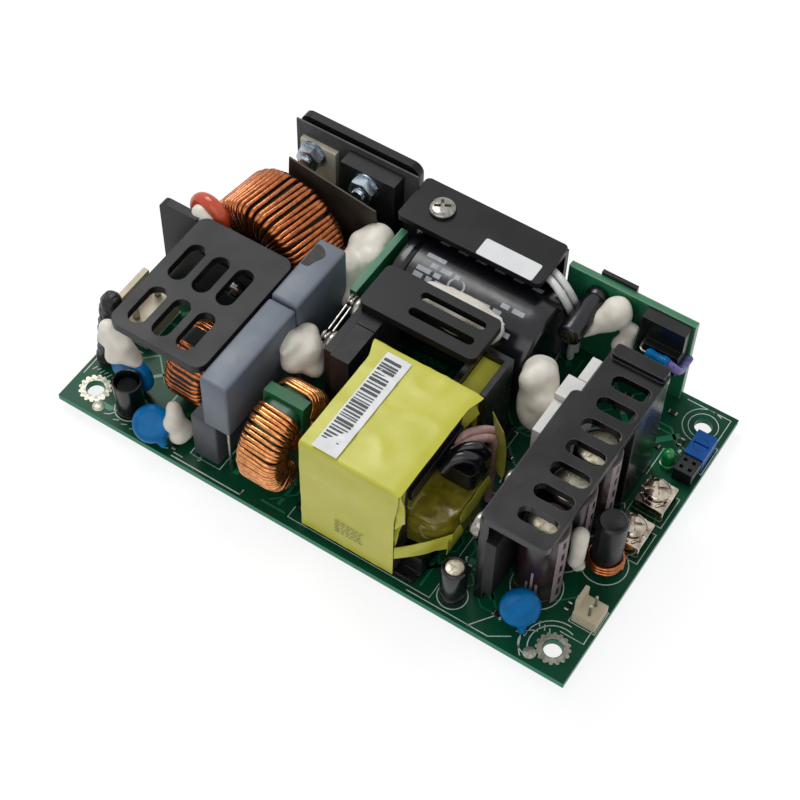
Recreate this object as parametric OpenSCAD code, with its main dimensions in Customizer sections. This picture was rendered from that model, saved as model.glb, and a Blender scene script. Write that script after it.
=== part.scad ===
/* [Main board] */
// Length of the main board
board_length = 127; // [126:0.5:132]
// Width of the main board
board_width = 76.2; // [76:0.2:80]
// Thickness of the main board
board_thick = 1.6; // [1.2:0.1:2.4]
// Distance of the mounting holes in from the edges of the board
hole_inset = 5.715; // [5.1:0.005:6.4]
// Bore of the mounting holes
hole_diameter = 3.96; // [3.2:0.02:4.2]
// Width of the tinned land round a front hole
land_width = 1.6; // [1:0.1:2]
// How far the solder joints stand out below the board
joint_depth = 1.3; // [0.8:0.1:2]
// How far the cut leads stand out past the joints
lead_stub = 0.9; // [0.3:0.1:1.5]
// Thickness of round component leads
lead_diameter = 0.8; // [0.5:0.05:1]

/* [Input end] */
// Length of the input connector
connector_length = 12; // [10:0.5:13]
// Height of the input connector above the board
connector_height = 11.4; // [9:0.2:13]
// Diameter of the sleeved fuse
fuse_diameter = 5.2; // [4:0.2:6]
// Length of the sleeved fuse
fuse_length = 23; // [18:0.5:25]
// Diameter of the disc capacitors
disc_diameter = 8.6; // [6:0.2:9]
// Diameter of the small input choke over its winding
line_choke_diameter = 19.6; // [16:0.2:20]
// Thickness of the small input choke over its winding
line_choke_thick = 11; // [9:0.2:12]
// Turns on each half of the small input choke
line_choke_turns = 13; // [6:1:14]

/* [Left heatsink] */
// Length of the slotted top
left_top_length = 33.8; // [30:0.2:36]
// Width of the slotted top
left_top_width = 23.8; // [20:0.2:25]
// Thickness of the heatsink sheet
left_sheet = 2; // [1.2:0.1:2.4]
// Height of the top face above the underside of the board
left_top_height = 31; // [30:0.2:34]
// Length of a cooling slot
left_slot_length = 10.6; // [8:0.2:12]
// Width of a cooling slot
left_slot_width = 4.3; // [3:0.1:5]
// Reach of the ear past the slotted top
ear_reach = 10.6; // [6:0.2:11]

/* [Film capacitors] */
// Width of a film capacitor
film_width = 6.7; // [5:0.1:6.8]
// Length of the front film capacitors
film_front_length = 24.8; // [20:0.2:26]
// Height of the raised film capacitor
film_front_height = 16; // [12:0.2:17]
// Length of the rear film capacitor
film_rear_length = 18.3; // [15:0.1:18.6]
// Height of the rear film capacitor
film_rear_height = 30.9; // [26:0.2:32]

/* [Chokes] */
// Outer diameter of the large toroid choke over its winding
pfc_diameter = 29.2; // [26:0.2:30]
// Thickness of the large toroid choke over its winding
pfc_thick = 16; // [12:0.2:17]
// Clear bore of the large toroid choke
pfc_bore = 12; // [9:0.5:15]
// Turns of the large toroid choke
pfc_turns = 60; // [36:1:64]
// Wire of the large toroid choke
pfc_wire = 1.2; // [1:0.05:1.25]
// Outer diameter of the common mode choke over its winding
mode_diameter = 24; // [20:0.2:24.2]
// Thickness of the common mode choke over its winding
mode_thick = 10.4; // [8:0.2:11]
// Turns on each half of the common mode choke
mode_turns = 24; // [12:1:26]
// Wire of the common mode choke
mode_wire = 0.95; // [0.8:0.05:1]
// Diameter of the rod choke
rod_diameter = 6.2; // [5:0.1:6.2]
// Height of the rod choke
rod_height = 17; // [12:0.2:19]

/* [Transformer] */
// Width of the taped core
core_width = 22; // [19:0.2:22.4]
// Length of the taped core
core_length = 29; // [27:0.1:31]
// Height of the taped core
core_height = 29.4; // [26:0.2:31]
// Thickness of the tape wrap
tape_thick = 0.4; // [0.2:0.05:0.8]
// Reach of the winding past the right side of the core
winding_reach = 9; // [6:0.2:9.4]

/* [Brackets and heatsinks] */
// Length of the slotted centre bracket
bracket_length = 28; // [24:0.2:29]
// Width of the slotted centre bracket
bracket_width = 12; // [10:0.2:12.6]
// Thickness of the bracket sheet
bracket_sheet = 2; // [1.2:0.1:2.4]
// Length of the angle heatsink at the rear
angle_length = 35.6; // [30:0.2:36]
// Depth of the angle heatsink at the rear
angle_depth = 12.8; // [10:0.2:13.2]
// Thickness of the angle heatsink
angle_sheet = 1.5; // [1:0.1:2]
// Height of the angle heatsink above the underside of the board
angle_height = 30.4; // [28:0.2:32]
// Length of the rear heatsink plate
rear_plate_length = 31; // [26:0.2:31.4]
// Height of the rear heatsink plate above the underside of the board
rear_plate_height = 33.4; // [32:0.2:35]
// Thickness of the rear heatsink plate
rear_plate_thick = 2; // [1.5:0.1:2.4]
// Length of the right slotted heatsink
right_length = 50; // [46:0.5:50]
// Width of the right slotted heatsink
right_width = 15; // [12:0.2:15.2]
// Height of the right slotted heatsink above the underside of the board
right_height = 33; // [30:0.2:34]
// Thickness of the right heatsink sheet
right_sheet = 2; // [1.2:0.1:2.2]
// Pitch of the cooling slots in the right heatsink
right_slot_pitch = 6.1; // [5:0.1:6.4]
// Width of a cooling slot in the right heatsink
right_slot_width = 3.6; // [2:0.1:4]

/* [Capacitors and boards] */
// Diameter of the large capacitor
bulk_diameter = 25; // [20:0.2:25.2]
// Length of the large capacitor
bulk_length = 36.6; // [34:0.2:37]
// Length of the daughter board
daughter_length = 30.5; // [26:0.5:31]
// Height of the daughter board above the underside of the main board
daughter_height = 27; // [22:0.2:30]
// Diameter of the output capacitors
output_cap_diameter = 10; // [8:0.2:10]
// Height of the output capacitors
output_cap_height = 25; // [20:0.2:26]
// Diameter of the small standing capacitor
small_cap_diameter = 5.6; // [4:0.1:6]
// Height of the small standing capacitor
small_cap_height = 11.6; // [7:0.2:12]

/* [Output end] */
// Length of the trimmer body
trimmer_length = 6.8; // [6:0.1:7]
// Width of the trimmer body
trimmer_width = 4.6; // [4.2:0.1:5]
// Height of the trimmer body
trimmer_height = 4.4; // [3.6:0.1:5]
// Diameter of the trimmer's rotor
rotor_diameter = 3.2; // [2.6:0.1:3.4]
// Diameter of the indicator
led_diameter = 3; // [2.6:0.1:3.4]
// Diameter of the terminal screw heads
terminal_screw_head = 6; // [5:0.2:6.4]
// Spacing of the output terminals
terminal_pitch = 10.4; // [9:0.1:10.8]

/* [Hidden] */
$fn = 48;

top = board_thick;           // upper face of the main board
seat = 0.3;                  // clearance under a standing piece
clear = 0.4;                 // clearance between neighbours
edge_x = board_length / 2;
edge_y = board_width / 2;
hole_x = board_length / 2 - hole_inset;
hole_y = board_width / 2 - hole_inset;

// Places across the board that several pieces share
left_top_right = -27.2;                          // right edge of the left slotted top
left_top_rear = 1.5;                             // rear face of the left heatsink's wall
left_top_left = left_top_right - left_top_width;
left_wall_front = left_top_rear - left_sheet;
left_top_mid_x = left_top_right - left_top_width / 2;
film_left = left_top_right + 1.1;                // left face of the raised film capacitor
film_front_y = -34.3;                            // front face of the raised film capacitor
film_raised_base = 32 - film_front_height;
film_rear_y = film_front_y + film_front_length + clear;
rear_plate_left = -49.5;
rear_plate_back = edge_y - 0.2;
rear_plate_front = rear_plate_back - rear_plate_thick;
angle_left = -17.4;
daughter_gap = 1.3;
daughter_left = angle_left + angle_length + daughter_gap;
core_left = 0;
core_front = -36.3;
bracket_left = -10;
bracket_front = -1;
bracket_top = 33;
right_left = 38;
right_front = -31.4;
right_rear = right_front + right_length;
daughter_front = 36;
daughter_thick = 1.6;
bulk_right = 23.4;
bulk_y = 22;
riser_x = bulk_right - bulk_length - 2.2;
trimmer_at = [60.5, 24.8];
led_at = [55.8, 19.4];
terminal_at = [58.4, 8.6];
rod_at = [56.8, -9.6];
fan_at = [60.3, -22.2];
small_cap_at = [34.6, -33.2];
output_cap_x = 47.8;

// Two limits: a width about a middle, and a length from a start
function about(middle, width) = [middle - width / 2, middle + width / 2];
function from(start, length) = [start, start + length];

// A block between two limits on each axis
module block(x, y, z)
    translate([x[0], y[0], z[0]]) cube([x[1] - x[0], y[1] - y[0], z[1] - z[0]]);

// A rectangle with round corners, centred
module soft_rect(length, width, radius) {
    square([length - 2 * radius, width], center = true);
    square([length, width - 2 * radius], center = true);
    for (sx = [-1, 1], sy = [-1, 1])
        translate([sx * (length / 2 - radius), sy * (width / 2 - radius)]) circle(radius);
}

// A slot with round ends along X, centred
module slot(length, width) {
    square([length - width, width], center = true);
    for (side = [-1, 1]) translate([side * (length - width) / 2, 0]) circle(width / 2);
}

// A box that stands on its lower face, with round upright edges
module soft_box(x, y, z, radius)
    translate([(x[0] + x[1]) / 2, (y[0] + y[1]) / 2, z[0]])
        linear_extrude(z[1] - z[0]) soft_rect(x[1] - x[0], y[1] - y[0], radius);

// A cylinder along X between two ends
module rod_x(x, y, z, diameter)
    translate([x[0], y, z]) rotate([0, 90, 0]) cylinder(h = x[1] - x[0], d = diameter);

// A cylinder along Y between two ends
module rod_y(x, y, z, diameter)
    translate([x, y[0], z]) rotate([-90, 0, 0]) cylinder(h = y[1] - y[0], d = diameter);

// A screw seen from its head: pan head above a short shank, axis up
module pan_screw(head, head_height, shank, shank_length) {
    rotate_extrude() {
        square([head / 2, head_height * 0.45]);
        intersection() {
            square([head / 2, head_height]);
            translate([0, head_height - head]) circle(head);
        }
    }
    if (shank_length > 0) translate([0, 0, -shank_length]) cylinder(h = shank_length, d = shank);
}

// Corner radius that a ring's half section can take
function corner(diameter, bore, thick, most) = min(most, thick / 3, (diameter - bore) / 4 - 0.1);

// Half section of a ring with soft corners, from inner to outer radius
module ring_section(diameter, bore, thick, radius)
    translate([(diameter + bore) / 4, 0]) soft_rect((diameter - bore) / 2, thick, radius);

// The ferrite ring inside a winding, grown by a gap
winding_corner = 3.4;
function core_corner(diameter, bore, thick, wire) =
    corner(diameter - 2 * wire, bore + 2 * wire, thick - 2 * wire, winding_corner - wire);
module toroid_core(diameter, bore, thick, wire, gap = 0)
    rotate_extrude() ring_section(diameter - 2 * wire + 2 * gap - 0.2, bore + 2 * wire - 2 * gap + 0.2,
        thick - 2 * wire + 2 * gap - 0.2, core_corner(diameter, bore, thick, wire) + gap - 0.1);

// Outline of the turns seen along the ring's axis: one finger a turn, joined near the bore
function turn_outline(turns, start, span, wire, reach) =
    let (pitch = span / turns, root = wire / 2 / sin(pitch / 2))
    concat(span < 360 ? [[0, 0]] : [], [
        for (i = [0 : turns - 1], k = [0 : 2])
            let (a = start + (i + 0.5) * pitch)
            k == 0 ? [reach * cos(a) + wire / 2 * sin(a), reach * sin(a) - wire / 2 * cos(a)]
            : k == 1 ? [reach * cos(a) - wire / 2 * sin(a), reach * sin(a) + wire / 2 * cos(a)]
            : [root * cos(a + pitch / 2), root * sin(a + pitch / 2)]
    ]);

// The copper turns round a ring: a soft shell cut into one finger a turn
module toroid_winding(diameter, bore, thick, wire, turns, start, span) difference() {
    intersection() {
        rotate_extrude()
            ring_section(diameter, bore, thick, corner(diameter, bore, thick, winding_corner));
        translate([0, 0, -thick])
            linear_extrude(2 * thick)
                polygon(turn_outline(turns, start, span, wire, diameter));
    }
    toroid_core(diameter, bore, thick, wire, 0.1);
}

// Main board with its four mounting holes
module board() color("darkgreen") difference() {
    block([-edge_x, edge_x], [-edge_y, edge_y], [0, top]);
    for (sx = [-1, 1], sy = [-1, 1])
        translate([sx * hole_x, sy * hole_y, -1]) cylinder(h = top + 2, d = hole_diameter);
}

// Tinned lands round the two front holes, with the soldered pad beside each
land_teeth = 16;
land_height = 0.12;
pad_diameter = 3.4;
module board_lands() color("silver") for (side = [-1, 1]) {
    translate([side * hole_x, -hole_y, top]) linear_extrude(land_height) difference() {
        union() {
            circle(hole_diameter / 2 + land_width * 0.8);
            for (i = [0 : land_teeth - 1]) rotate(i * 360 / land_teeth)
                translate([hole_diameter / 2 + land_width * 0.8, 0]) circle(0.45, $fn = 16);
        }
        circle(hole_diameter / 2 + 0.15);
    }
    translate([side * (hole_x - 3.5) , -hole_y - 3.4, top])
        intersection() {
            translate([0, 0, -pad_diameter]) sphere(pad_diameter * 1.12);
            cylinder(h = 1, d = pad_diameter - 0.6);
        }
}

// Soldered pins under the board, from the places of the parts that they carry
pin_places = concat(
    [for (i = [0, 1]) [-edge_x + 4.5, -15.2 + i * 7.9]],
    [for (i = [0 : 3]) [-53 + i * 5.1, 4.6]],
    [for (i = [0, 1], j = [0, 1]) [-41.6 + i * 8, -28 + j * 17]],
    [for (j = [0 : 2]) [-28, -31 + j * 9]],
    [for (j = [0 : 2]) [-22.6, -7 + j * 7]],
    [for (i = [0, 1], j = [0, 1]) [-46 + i * 11, 8 + j * 10]],
    [for (i = [0, 1], j = [0, 1]) [-15.4 + i * 7, -34 + j * 15]],
    [for (i = [0 : 4]) [2.4 + i * 4.4, -34.4]],
    [for (i = [0 : 4]) [2.4 + i * 4.4, -6.6]],
    [for (j = [0 : 3]) [-7, -12 + j * 5]],
    [for (i = [0 : 3]) [12 + i * 4, 5.4]],
    [for (j = [0 : 3]) [riser_x, 10 + j * 4.4]],
    [for (i = [0 : 5]) [-44 + i * 4.6, 32.6]],
    [for (i = [0 : 5]) [22 + i * 5, 33.8]],
    [for (j = [0 : 4]) [41.6, -26 + j * 9]],
    [for (j = [0 : 2], k = [-1, 1]) [output_cap_x + k * 2.5, -21.8 + j * 10.4]],
    [for (j = [0, 1], k = [-1, 1]) [terminal_at[0] + k * 2.4, terminal_at[1] - j * terminal_pitch]],
    [for (k = [-1, 1]) [rod_at[0] + k * 1.6, rod_at[1] - 3.4]],
    [for (k = [-1, 1]) [fan_at[0] + 0.4, fan_at[1] + k * 1.25]],
    [for (k = [-1, 1]) [trimmer_at[0] + k * 1.2, trimmer_at[1]]]
);
module solder_joints() color("silver") for (p = pin_places) translate([p[0], p[1], 0]) {
    translate([0, 0, -joint_depth])
        cylinder(h = joint_depth, d1 = lead_diameter, d2 = 2.2, $fn = 16);
    translate([0, 0, -joint_depth - lead_stub])
        cylinder(h = lead_stub + 0.2, d = lead_diameter, $fn = 16);
}

// Input connector: a cream base with a tall locking wall along the board's edge
connector_x = [-63.3, -55.3];
connector_y = -17.4;
connector_base = 6;
pin_width = 1.1;
module input_connector() color("wheat") difference() {
    union() {
        block(connector_x, [connector_y, connector_y + connector_length], [top, top + connector_base]);
        block([connector_x[0], connector_x[0] + 1.4],
            [connector_y + 0.8, connector_y + connector_length - 0.8],
            [top + connector_base, top + connector_height]);
    }
    for (y = connector_pin_y)
        block(connector_pin_x + [-0.05, 0.05], [y - 0.05, y + pin_width + 0.05], [0, 20]);
}
connector_pin_x = [-59.5, -59.5 + pin_width];
connector_pin_y = [connector_y + 1.6, connector_y + connector_length - 1.6 - pin_width];

// Fan connector: a cream base with one tall wall
fan_base = 3.4;
fan_size = [5.4, 5.2];
module fan_connector() color("wheat") difference() {
    union() {
        block(about(fan_at[0], fan_size[0]), about(fan_at[1], fan_size[1]),
            [top, top + fan_base]);
        block(from(fan_at[0] - fan_size[0] / 2, 0.9), about(fan_at[1], fan_size[1] - 1),
            [top + fan_base, top + 7.6]);
    }
    for (k = [-1, 1]) translate([fan_at[0] + 0.4, fan_at[1] + k * 1.25, 0])
        cylinder(h = 20, d = 0.75, $fn = 16);
}

// Bare pins of the two connectors
module connector_pins() color("silver") {
    for (y = connector_pin_y)
        block(connector_pin_x, [y, y + pin_width], [top, top + connector_height - 1]);
    for (k = [-1, 1]) translate([fan_at[0] + 0.4, fan_at[1] + k * 1.25, top])
        cylinder(h = 6.8, d = 0.64, $fn = 16);
}

// Fuse in a black sleeve, leaning a little inwards at the board's left edge
fuse_foot = [-59.6, -25.2];
fuse_lean = [7, 5];
module sleeved_fuse() color("black") translate([fuse_foot[0], fuse_foot[1], top + fuse_diameter / 2])
    rotate([-fuse_lean[0], fuse_lean[1], 0]) {
        sphere(d = fuse_diameter);
        cylinder(h = fuse_length - fuse_diameter, d = fuse_diameter);
        translate([0, 0, fuse_length - fuse_diameter]) sphere(d = fuse_diameter);
    }

// Lens shaped disc standing on edge, faces to front and rear
module standing_disc(diameter, thick)
    rotate([90, 0, 0]) rotate_extrude() intersection() {
        translate([0, -thick / 2]) square([diameter / 2, thick]);
        union() {
            translate([0, -thick / 2]) square([diameter / 2 - thick / 2, thick]);
            translate([diameter / 2 - thick / 2, 0]) circle(thick / 2);
        }
    }

varistor_at = [-50.8, -27.4];
varistor_diameter = 11;
varistor_thick = 3;
module varistor() color("steelblue")
    translate([varistor_at[0], varistor_at[1], top + seat + varistor_diameter / 2])
        standing_disc(varistor_diameter, varistor_thick);

// Resistor standing in an open sleeve
sleeve_at = [-48.2, -32.2];
sleeve_diameter = 6.4;
sleeve_height = 9.8;
sleeve_wall = 0.4;
resistor_diameter = 4.4;
module resistor_sleeve() color("black") translate([sleeve_at[0], sleeve_at[1], top]) difference() {
    cylinder(h = sleeve_height, d = sleeve_diameter);
    translate([0, 0, -1]) cylinder(h = sleeve_height + 2, d = sleeve_diameter - 2 * sleeve_wall);
}
module fusible_resistor() color("dimgray")
    translate([sleeve_at[0], sleeve_at[1], top]) cylinder(h = sleeve_height - 1.6, d = resistor_diameter);

// The two blue disc capacitors: a disc with its coated neck down to the board
disc_thick = 3.6;
disc_places = [[-39.8, -35.3, 6], [48.8, -30.9, 7.3]];
disc_turns = [[-45, 50, 20], [-34, 85, 34.5]];   // leaning back, turned on its face, turned round
module disc_capacitor() {
    standing_disc(disc_diameter, disc_thick);
    rotate([0, 90, 0]) cylinder(h = disc_diameter / 2 + 1.4, d1 = disc_thick, d2 = 1.6);
}
module disc_capacitors() color("dodgerblue") {
    for (i = [0, 1]) translate(disc_places[i])
        rotate([disc_turns[i][0], 0, disc_turns[i][2]]) rotate([0, disc_turns[i][1], 0]) disc_capacitor();
}

// Small input choke, upright with its axis along the board
line_choke_bore = 7;
line_choke_wire = 1.25;
line_choke_x = -37.2;
line_choke_y = -19.4;
line_choke_z = top + seat + line_choke_diameter / 2;
module at_line_choke() translate([line_choke_x, line_choke_y, line_choke_z]) rotate([0, 90, 0])
    children();
module line_choke_core() color("#3a1a1c") at_line_choke()
    toroid_core(line_choke_diameter, line_choke_bore, line_choke_thick, line_choke_wire);
module line_choke_winding() color("#b87333") at_line_choke() for (side = [0, 1])
    toroid_winding(line_choke_diameter, line_choke_bore, line_choke_thick, line_choke_wire,
        line_choke_turns, side * 180 + 25, 130);

// Left heatsink: a slotted top bent from an upright wall that carries an ear
left_slot_columns = 3;
left_slot_pitch_x = 6.15;
left_slot_pitch_y = left_slot_length + 3;
left_corner = 2.6;
ear_left = left_top_left - ear_reach;
ear_cut = 1.2;
module left_heatsink() color("#3c3c3e") {
    difference() {
        soft_box([left_top_left, left_top_right], [left_top_rear - left_top_length, left_top_rear],
            [left_top_height - left_sheet, left_top_height], left_corner);
        for (i = [-1 : 1], j = [0, 1])
            translate([left_top_mid_x - 1 + i * left_slot_pitch_x,
                left_top_rear - 12.4 - j * left_slot_pitch_y, left_top_height - left_sheet - 1])
                linear_extrude(left_sheet + 2) rotate(90) slot(left_slot_length, left_slot_width);
    }
    translate([0, left_top_rear, 0]) rotate([90, 0, 0]) linear_extrude(left_sheet) difference() {
        union() {
            translate([left_top_left + 1, top])
                square([left_top_width - 1 - left_corner, left_top_height - left_sheet - top + 1]);
            translate([(ear_left + left_top_left) / 2 + 2, (left_top_height + top) / 2])
                soft_rect(ear_reach + 4, left_top_height - top - 0.4, 2);
        }
        translate([left_top_left + 0.6, left_top_height - 2.4])
            square([2 * ear_cut, 8], center = true);
    }
}

// Bridge rectifier on the front of the left heatsink's wall
bridge_size = [22, 3.6, 18.6];
bridge_x = -50.4;
bridge_base = 7;
bridge_hole = 3.2;
module bridge_rectifier() color("#202022") difference() {
    block([bridge_x, bridge_x + bridge_size[0]],
        [left_wall_front - bridge_size[1], left_wall_front],
        [bridge_base, bridge_base + bridge_size[2]]);
    rod_y(bridge_x + bridge_size[0] / 2, from(left_wall_front - 5, 6),
        bridge_base + bridge_size[2] - 5, bridge_hole);
}

// Orange disc part on long leads behind the ear
orange_at = [-51.6, 4.2, 28.4];
orange_diameter = 10.8;
orange_thick = 3.6;
orange_lead_gap = 5.06;
module orange_disc() color("orangered") translate(orange_at) rotate([0, 0, pfc_turned])
    standing_disc(orange_diameter, orange_thick);

// Grey box film capacitors: one low, one raised above it, one tall behind
film_low_x = [film_left - 3.8, film_left + film_width - 4];
film_low_top = film_raised_base - seat;
film_corner = 0.5;
module film_capacitor_low() color("#56585f")
    soft_box(film_low_x, [film_front_y + 0.3, film_front_y + film_front_length - 4],
        [top, film_low_top], film_corner);
module film_capacitor_raised() color("slategray")
    soft_box([film_left, film_left + film_width], [film_front_y, film_front_y + film_front_length],
        [film_raised_base, film_raised_base + film_front_height], film_corner);
module film_capacitor_rear() color("slategray")
    soft_box([film_left, film_left + film_width], [film_rear_y, film_rear_y + film_rear_length],
        [top, top + film_rear_height], film_corner);

// Large toroid choke, upright with its axis nearly across the board
pfc_turned = -8;
pfc_y = 13.8;
pfc_lift = 1.5;                                  // length of its wire ends that show under it
pfc_x = film_left - clear - pfc_diameter / 2 + 0.3;
module at_pfc() translate([pfc_x, pfc_y, top + pfc_lift + pfc_diameter / 2])
    rotate([0, 0, pfc_turned]) rotate([90, 0, 0]) children();
module pfc_choke_core() color("#2a2c2a") at_pfc()
    toroid_core(pfc_diameter, pfc_bore, pfc_thick, pfc_wire);
module pfc_choke_winding() color("#b4682c") at_pfc()
    toroid_winding(pfc_diameter, pfc_bore, pfc_thick, pfc_wire, pfc_turns, 0, 360);

// Common mode choke, upright with its axis along the board
mode_bore = 9.6;
mode_at = [-11.4, -26.2];
mode_turned = 8;
divider_thick = 2.9;
module at_mode() translate([mode_at[0], mode_at[1], top + seat + mode_diameter / 2])
    rotate([0, -90, 0]) children();
module mode_choke_core() color("#25452c") at_mode()
    toroid_core(mode_diameter, mode_bore, mode_thick, mode_wire);
module mode_choke_winding() color("#c87a44") at_mode() for (side = [0, 1])
    toroid_winding(mode_diameter, mode_bore, mode_thick, mode_wire, mode_turns,
        17 + mode_turned + side * 180, 146);
module mode_choke_divider() color("darkgreen") at_mode() difference() {
    rotate(mode_turned) for (side = [-1, 1])
        translate([side * (mode_diameter + mode_bore) / 4, 0, 0])
            cube([(mode_diameter - mode_bore) / 2, divider_thick, mode_thick - 0.6], center = true);
    toroid_core(mode_diameter, mode_bore, mode_thick, mode_wire, 0.05);
}

// Main transformer: ferrite core with a window along the board
core_wall = 5;
core_base = 3.6;
window_y = [core_front + core_wall, core_front + core_length - core_wall];
window_z = [core_base + core_wall, core_base + core_height - core_wall];
limb = 7;
core_right = core_left + core_width;
module transformer_core() color("#1c1c1e") {
    difference() {
        block([core_left, core_right], [core_front, core_front + core_length],
            [core_base, core_base + core_height]);
        block([core_left - 1, core_right + 1], window_y, window_z);
    }
    block([core_left + 4, core_right - 4], window_y, about(core_mid_z, limb));
}
core_mid_z = core_base + core_height / 2;

// The winding fills the window and bulges out at its right side
winding_top = 20.4;
winding_inner_top = 24.6;
winding_y = [window_y[0] + clear, window_y[1] - clear];
module transformer_winding() color("#9c8c2c") difference() {
    union() {
        soft_box([core_left - 2, core_right + winding_reach], winding_y,
            [window_z[0] + clear, winding_top], 6);
        block([core_left - 1.6, core_right - 0.2], winding_y, [winding_top - 1, winding_inner_top]);
    }
    block([core_left + 4 - 0.1, core_right - 4 + 0.1], [-100, 100],
        about(core_mid_z, limb + 0.2));
}

// Bobbin flange with its row of feet, under the core
module transformer_bobbin() color("#161616") {
    block([core_left - 3.6, core_right + 5], [core_front + 2.4, core_front + core_length - 2.4],
        [top + 0.6, core_base - tape_thick - 0.05]);
    for (y = [core_front + 0.6, core_front + core_length - 3.4])
        block([core_left + 0.8, core_right + 4.4], [y, y + 2.8], [top, core_base - tape_thick - 0.05]);
    block([core_right + 0.6, core_right + 5], [core_front + 3, core_front + 6.4],
        [core_base - tape_thick - 0.05, window_z[0] - 0.2]);
    block([core_left - 1.6, core_right + 1], [window_y[0] + 0.1, window_y[1] - 0.1],
        [winding_inner_top + 0.1, window_z[1] - 0.1]);
    soft_box([core_right + 0.3, core_right + 8.4], [window_y[1] - 8.4, window_y[1] - 0.1],
        [winding_top + 0.1, window_z[1] - 2.6], 1.5);
}

// Tape round the core, front to rear over the top, with the flared corners of its rear edge
tape_overhang = 1.3;
tape_top = core_base + core_height + tape_thick;
flares = [[core_left - 0.2, 1.8, -2], [core_right + tape_overhang, 2.8, 2]];   // place, reach, width by reach
module transformer_tape() color("#cfd05a") {
    difference() {
        block([core_left - 0.2, core_right + 0.2],
            [core_front - tape_thick, core_front + core_length + tape_thick],
            [core_base - tape_thick, tape_top]);
        block([core_left - 1, core_right + 1], [core_front, core_front + core_length],
            [core_base, core_base + core_height]);
    }
    block([core_right, core_right + tape_overhang],
        [core_front - tape_thick, core_front + core_length + tape_thick],
        [tape_top - tape_thick, tape_top]);
    for (f = flares) translate([f[0], core_front + core_length + tape_thick - 0.2, tape_top - tape_thick])
        linear_extrude(tape_thick) polygon([[-f[1] * f[2], 0], [0, 0], [0, abs(f[1])]]);
    translate([core_right, core_front, 0]) rotate([90, 0, 0]) linear_extrude(tape_thick)
        polygon([[0, tape_top], [tape_overhang, tape_top], [3, tape_top - 5], [0, tape_top - 13]]);
}

// A round cable through a row of points
module cable(points, diameter) for (i = [0 : len(points) - 2])
    hull() for (p = [points[i], points[i + 1]]) translate(p) sphere(d = diameter, $fn = 12);

// Sleeved flying leads of the transformer, over the bobbin's flange and down behind the winding
flying_diameter = 1.8;
flying_path = [[24, -18, 26.6], [26.8, -12.9, 27.1], [28.8, -9.9, 25], [28.8, -9.9, top + 0.95]];
module transformer_leads() color("#c79a9a") for (k = [0, 1])
    translate(k * [-1.1, 1.7, 0])
        cable(flying_path + [[k * 1.1, 0, 0], [0, 0, 0], [0, 0, 0], [0, 0, 0]], flying_diameter);

// Slotted bracket: an upright wall along the winding's side with a top bent over the rear
bracket_wall_top = 30.4;
bracket_rear = bracket_front + bracket_width;
module centre_bracket() color("#303033") {
    difference() {
        soft_box([bracket_left, bracket_left + bracket_length], [bracket_front, bracket_rear],
            [bracket_top - bracket_sheet, bracket_top], 1.6);
        for (y = [bracket_rear - 3.3, bracket_rear - 8])
            translate([bracket_left + bracket_length - 10.2, y, bracket_top - bracket_sheet - 1])
                linear_extrude(bracket_sheet + 2) slot(15.5, 2.2);
    }
    block([bracket_left, bracket_left + bracket_sheet], [bracket_front - 12.4, bracket_rear - 1.6],
        [top, bracket_wall_top]);
    block([bracket_left, bracket_left + bracket_sheet], [bracket_front + 1.6, bracket_rear - 1.6],
        [bracket_wall_top - 1, bracket_top - 0.5]);
}

// Two transistors clamped to the bracket's wall
device_size = [4.5, 9.6, 16];
centre_device_y = [bracket_front + 1.5, bracket_front - 8.3];
centre_screw_z = [28, 27.2];
module centre_transistors() color("#1a1a1c") for (y = centre_device_y)
    translate([bracket_left + bracket_sheet, y - device_size[1] / 2, 14.6])
        cube(device_size);

// Small transformer: black bobbin flanges and legs, yellow taped winding between them
aux_x = [12.8, 24.6];
aux_y = [-3.4, 8];
aux_z = [top, 27];
flange = 1.4;
module small_transformer_bobbin() color("#151515") {
    block(aux_x, aux_y, [aux_z[0], aux_z[0] + 3]);
    for (x = [aux_x[0] + 2, aux_x[1] - 3.4]) block([x, x + flange], aux_y, aux_z + [2, 0]);
    block([aux_x[0] + 2, aux_x[1] - 2], [aux_y[1] - flange, aux_y[1]], [aux_z[0] + 2, aux_z[1]]);
}
module small_transformer_tape() color("#c9c552")
    block([aux_x[0] + 2 + flange + 0.1, aux_x[1] - 3.4 - 0.1], [aux_y[0] + 0.6, aux_y[1] - flange - 0.1],
        [aux_z[0] + 3.1, aux_z[1] - 2]);

// Large capacitor lying along the board, with a rolled groove near its lead end
bulk_z = top + seat + bulk_diameter / 2;
module bulk_capacitor() color("#15171c")
    translate([bulk_right - bulk_length, bulk_y, bulk_z]) rotate([0, 90, 0]) rotate_extrude()
        difference() {
            translate([0, bulk_length / 2]) rotate(90)
                square([bulk_length, bulk_diameter], center = true);
            translate([-bulk_diameter, -1]) square([bulk_diameter, bulk_length + 2]);
            translate([bulk_diameter / 2 + 0.6, 3]) circle(1.2);
        }

// Riser board at the lead end of the large capacitor
module riser_board() color("seagreen")
    block(about(riser_x, daughter_thick), [5.4, 25.6], [top, 26]);

// Angle heatsink over the large capacitor: top and rear wall in one bent sheet
angle_back = rear_plate_back;
angle_front = angle_back - angle_depth;
module angle_heatsink() color("#2c2c2f") difference() {
    union() {
        soft_box([angle_left, angle_left + angle_length], [angle_front, angle_back],
            [angle_height - angle_sheet, angle_height], 1.2);
        block([angle_left, angle_left + angle_length], [angle_back - angle_sheet, angle_back],
            [top, angle_height - angle_sheet + 0.5]);
        block([angle_left, angle_left + angle_sheet], [angle_front + 3, angle_back - 1],
            [26.6, angle_height - angle_sheet + 0.5]);
    }
    translate([angle_screw[0], angle_screw[1], 20]) cylinder(h = 15, d = 3);
}
angle_screw = [angle_left + 7.7, angle_back - 6.4];

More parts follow.
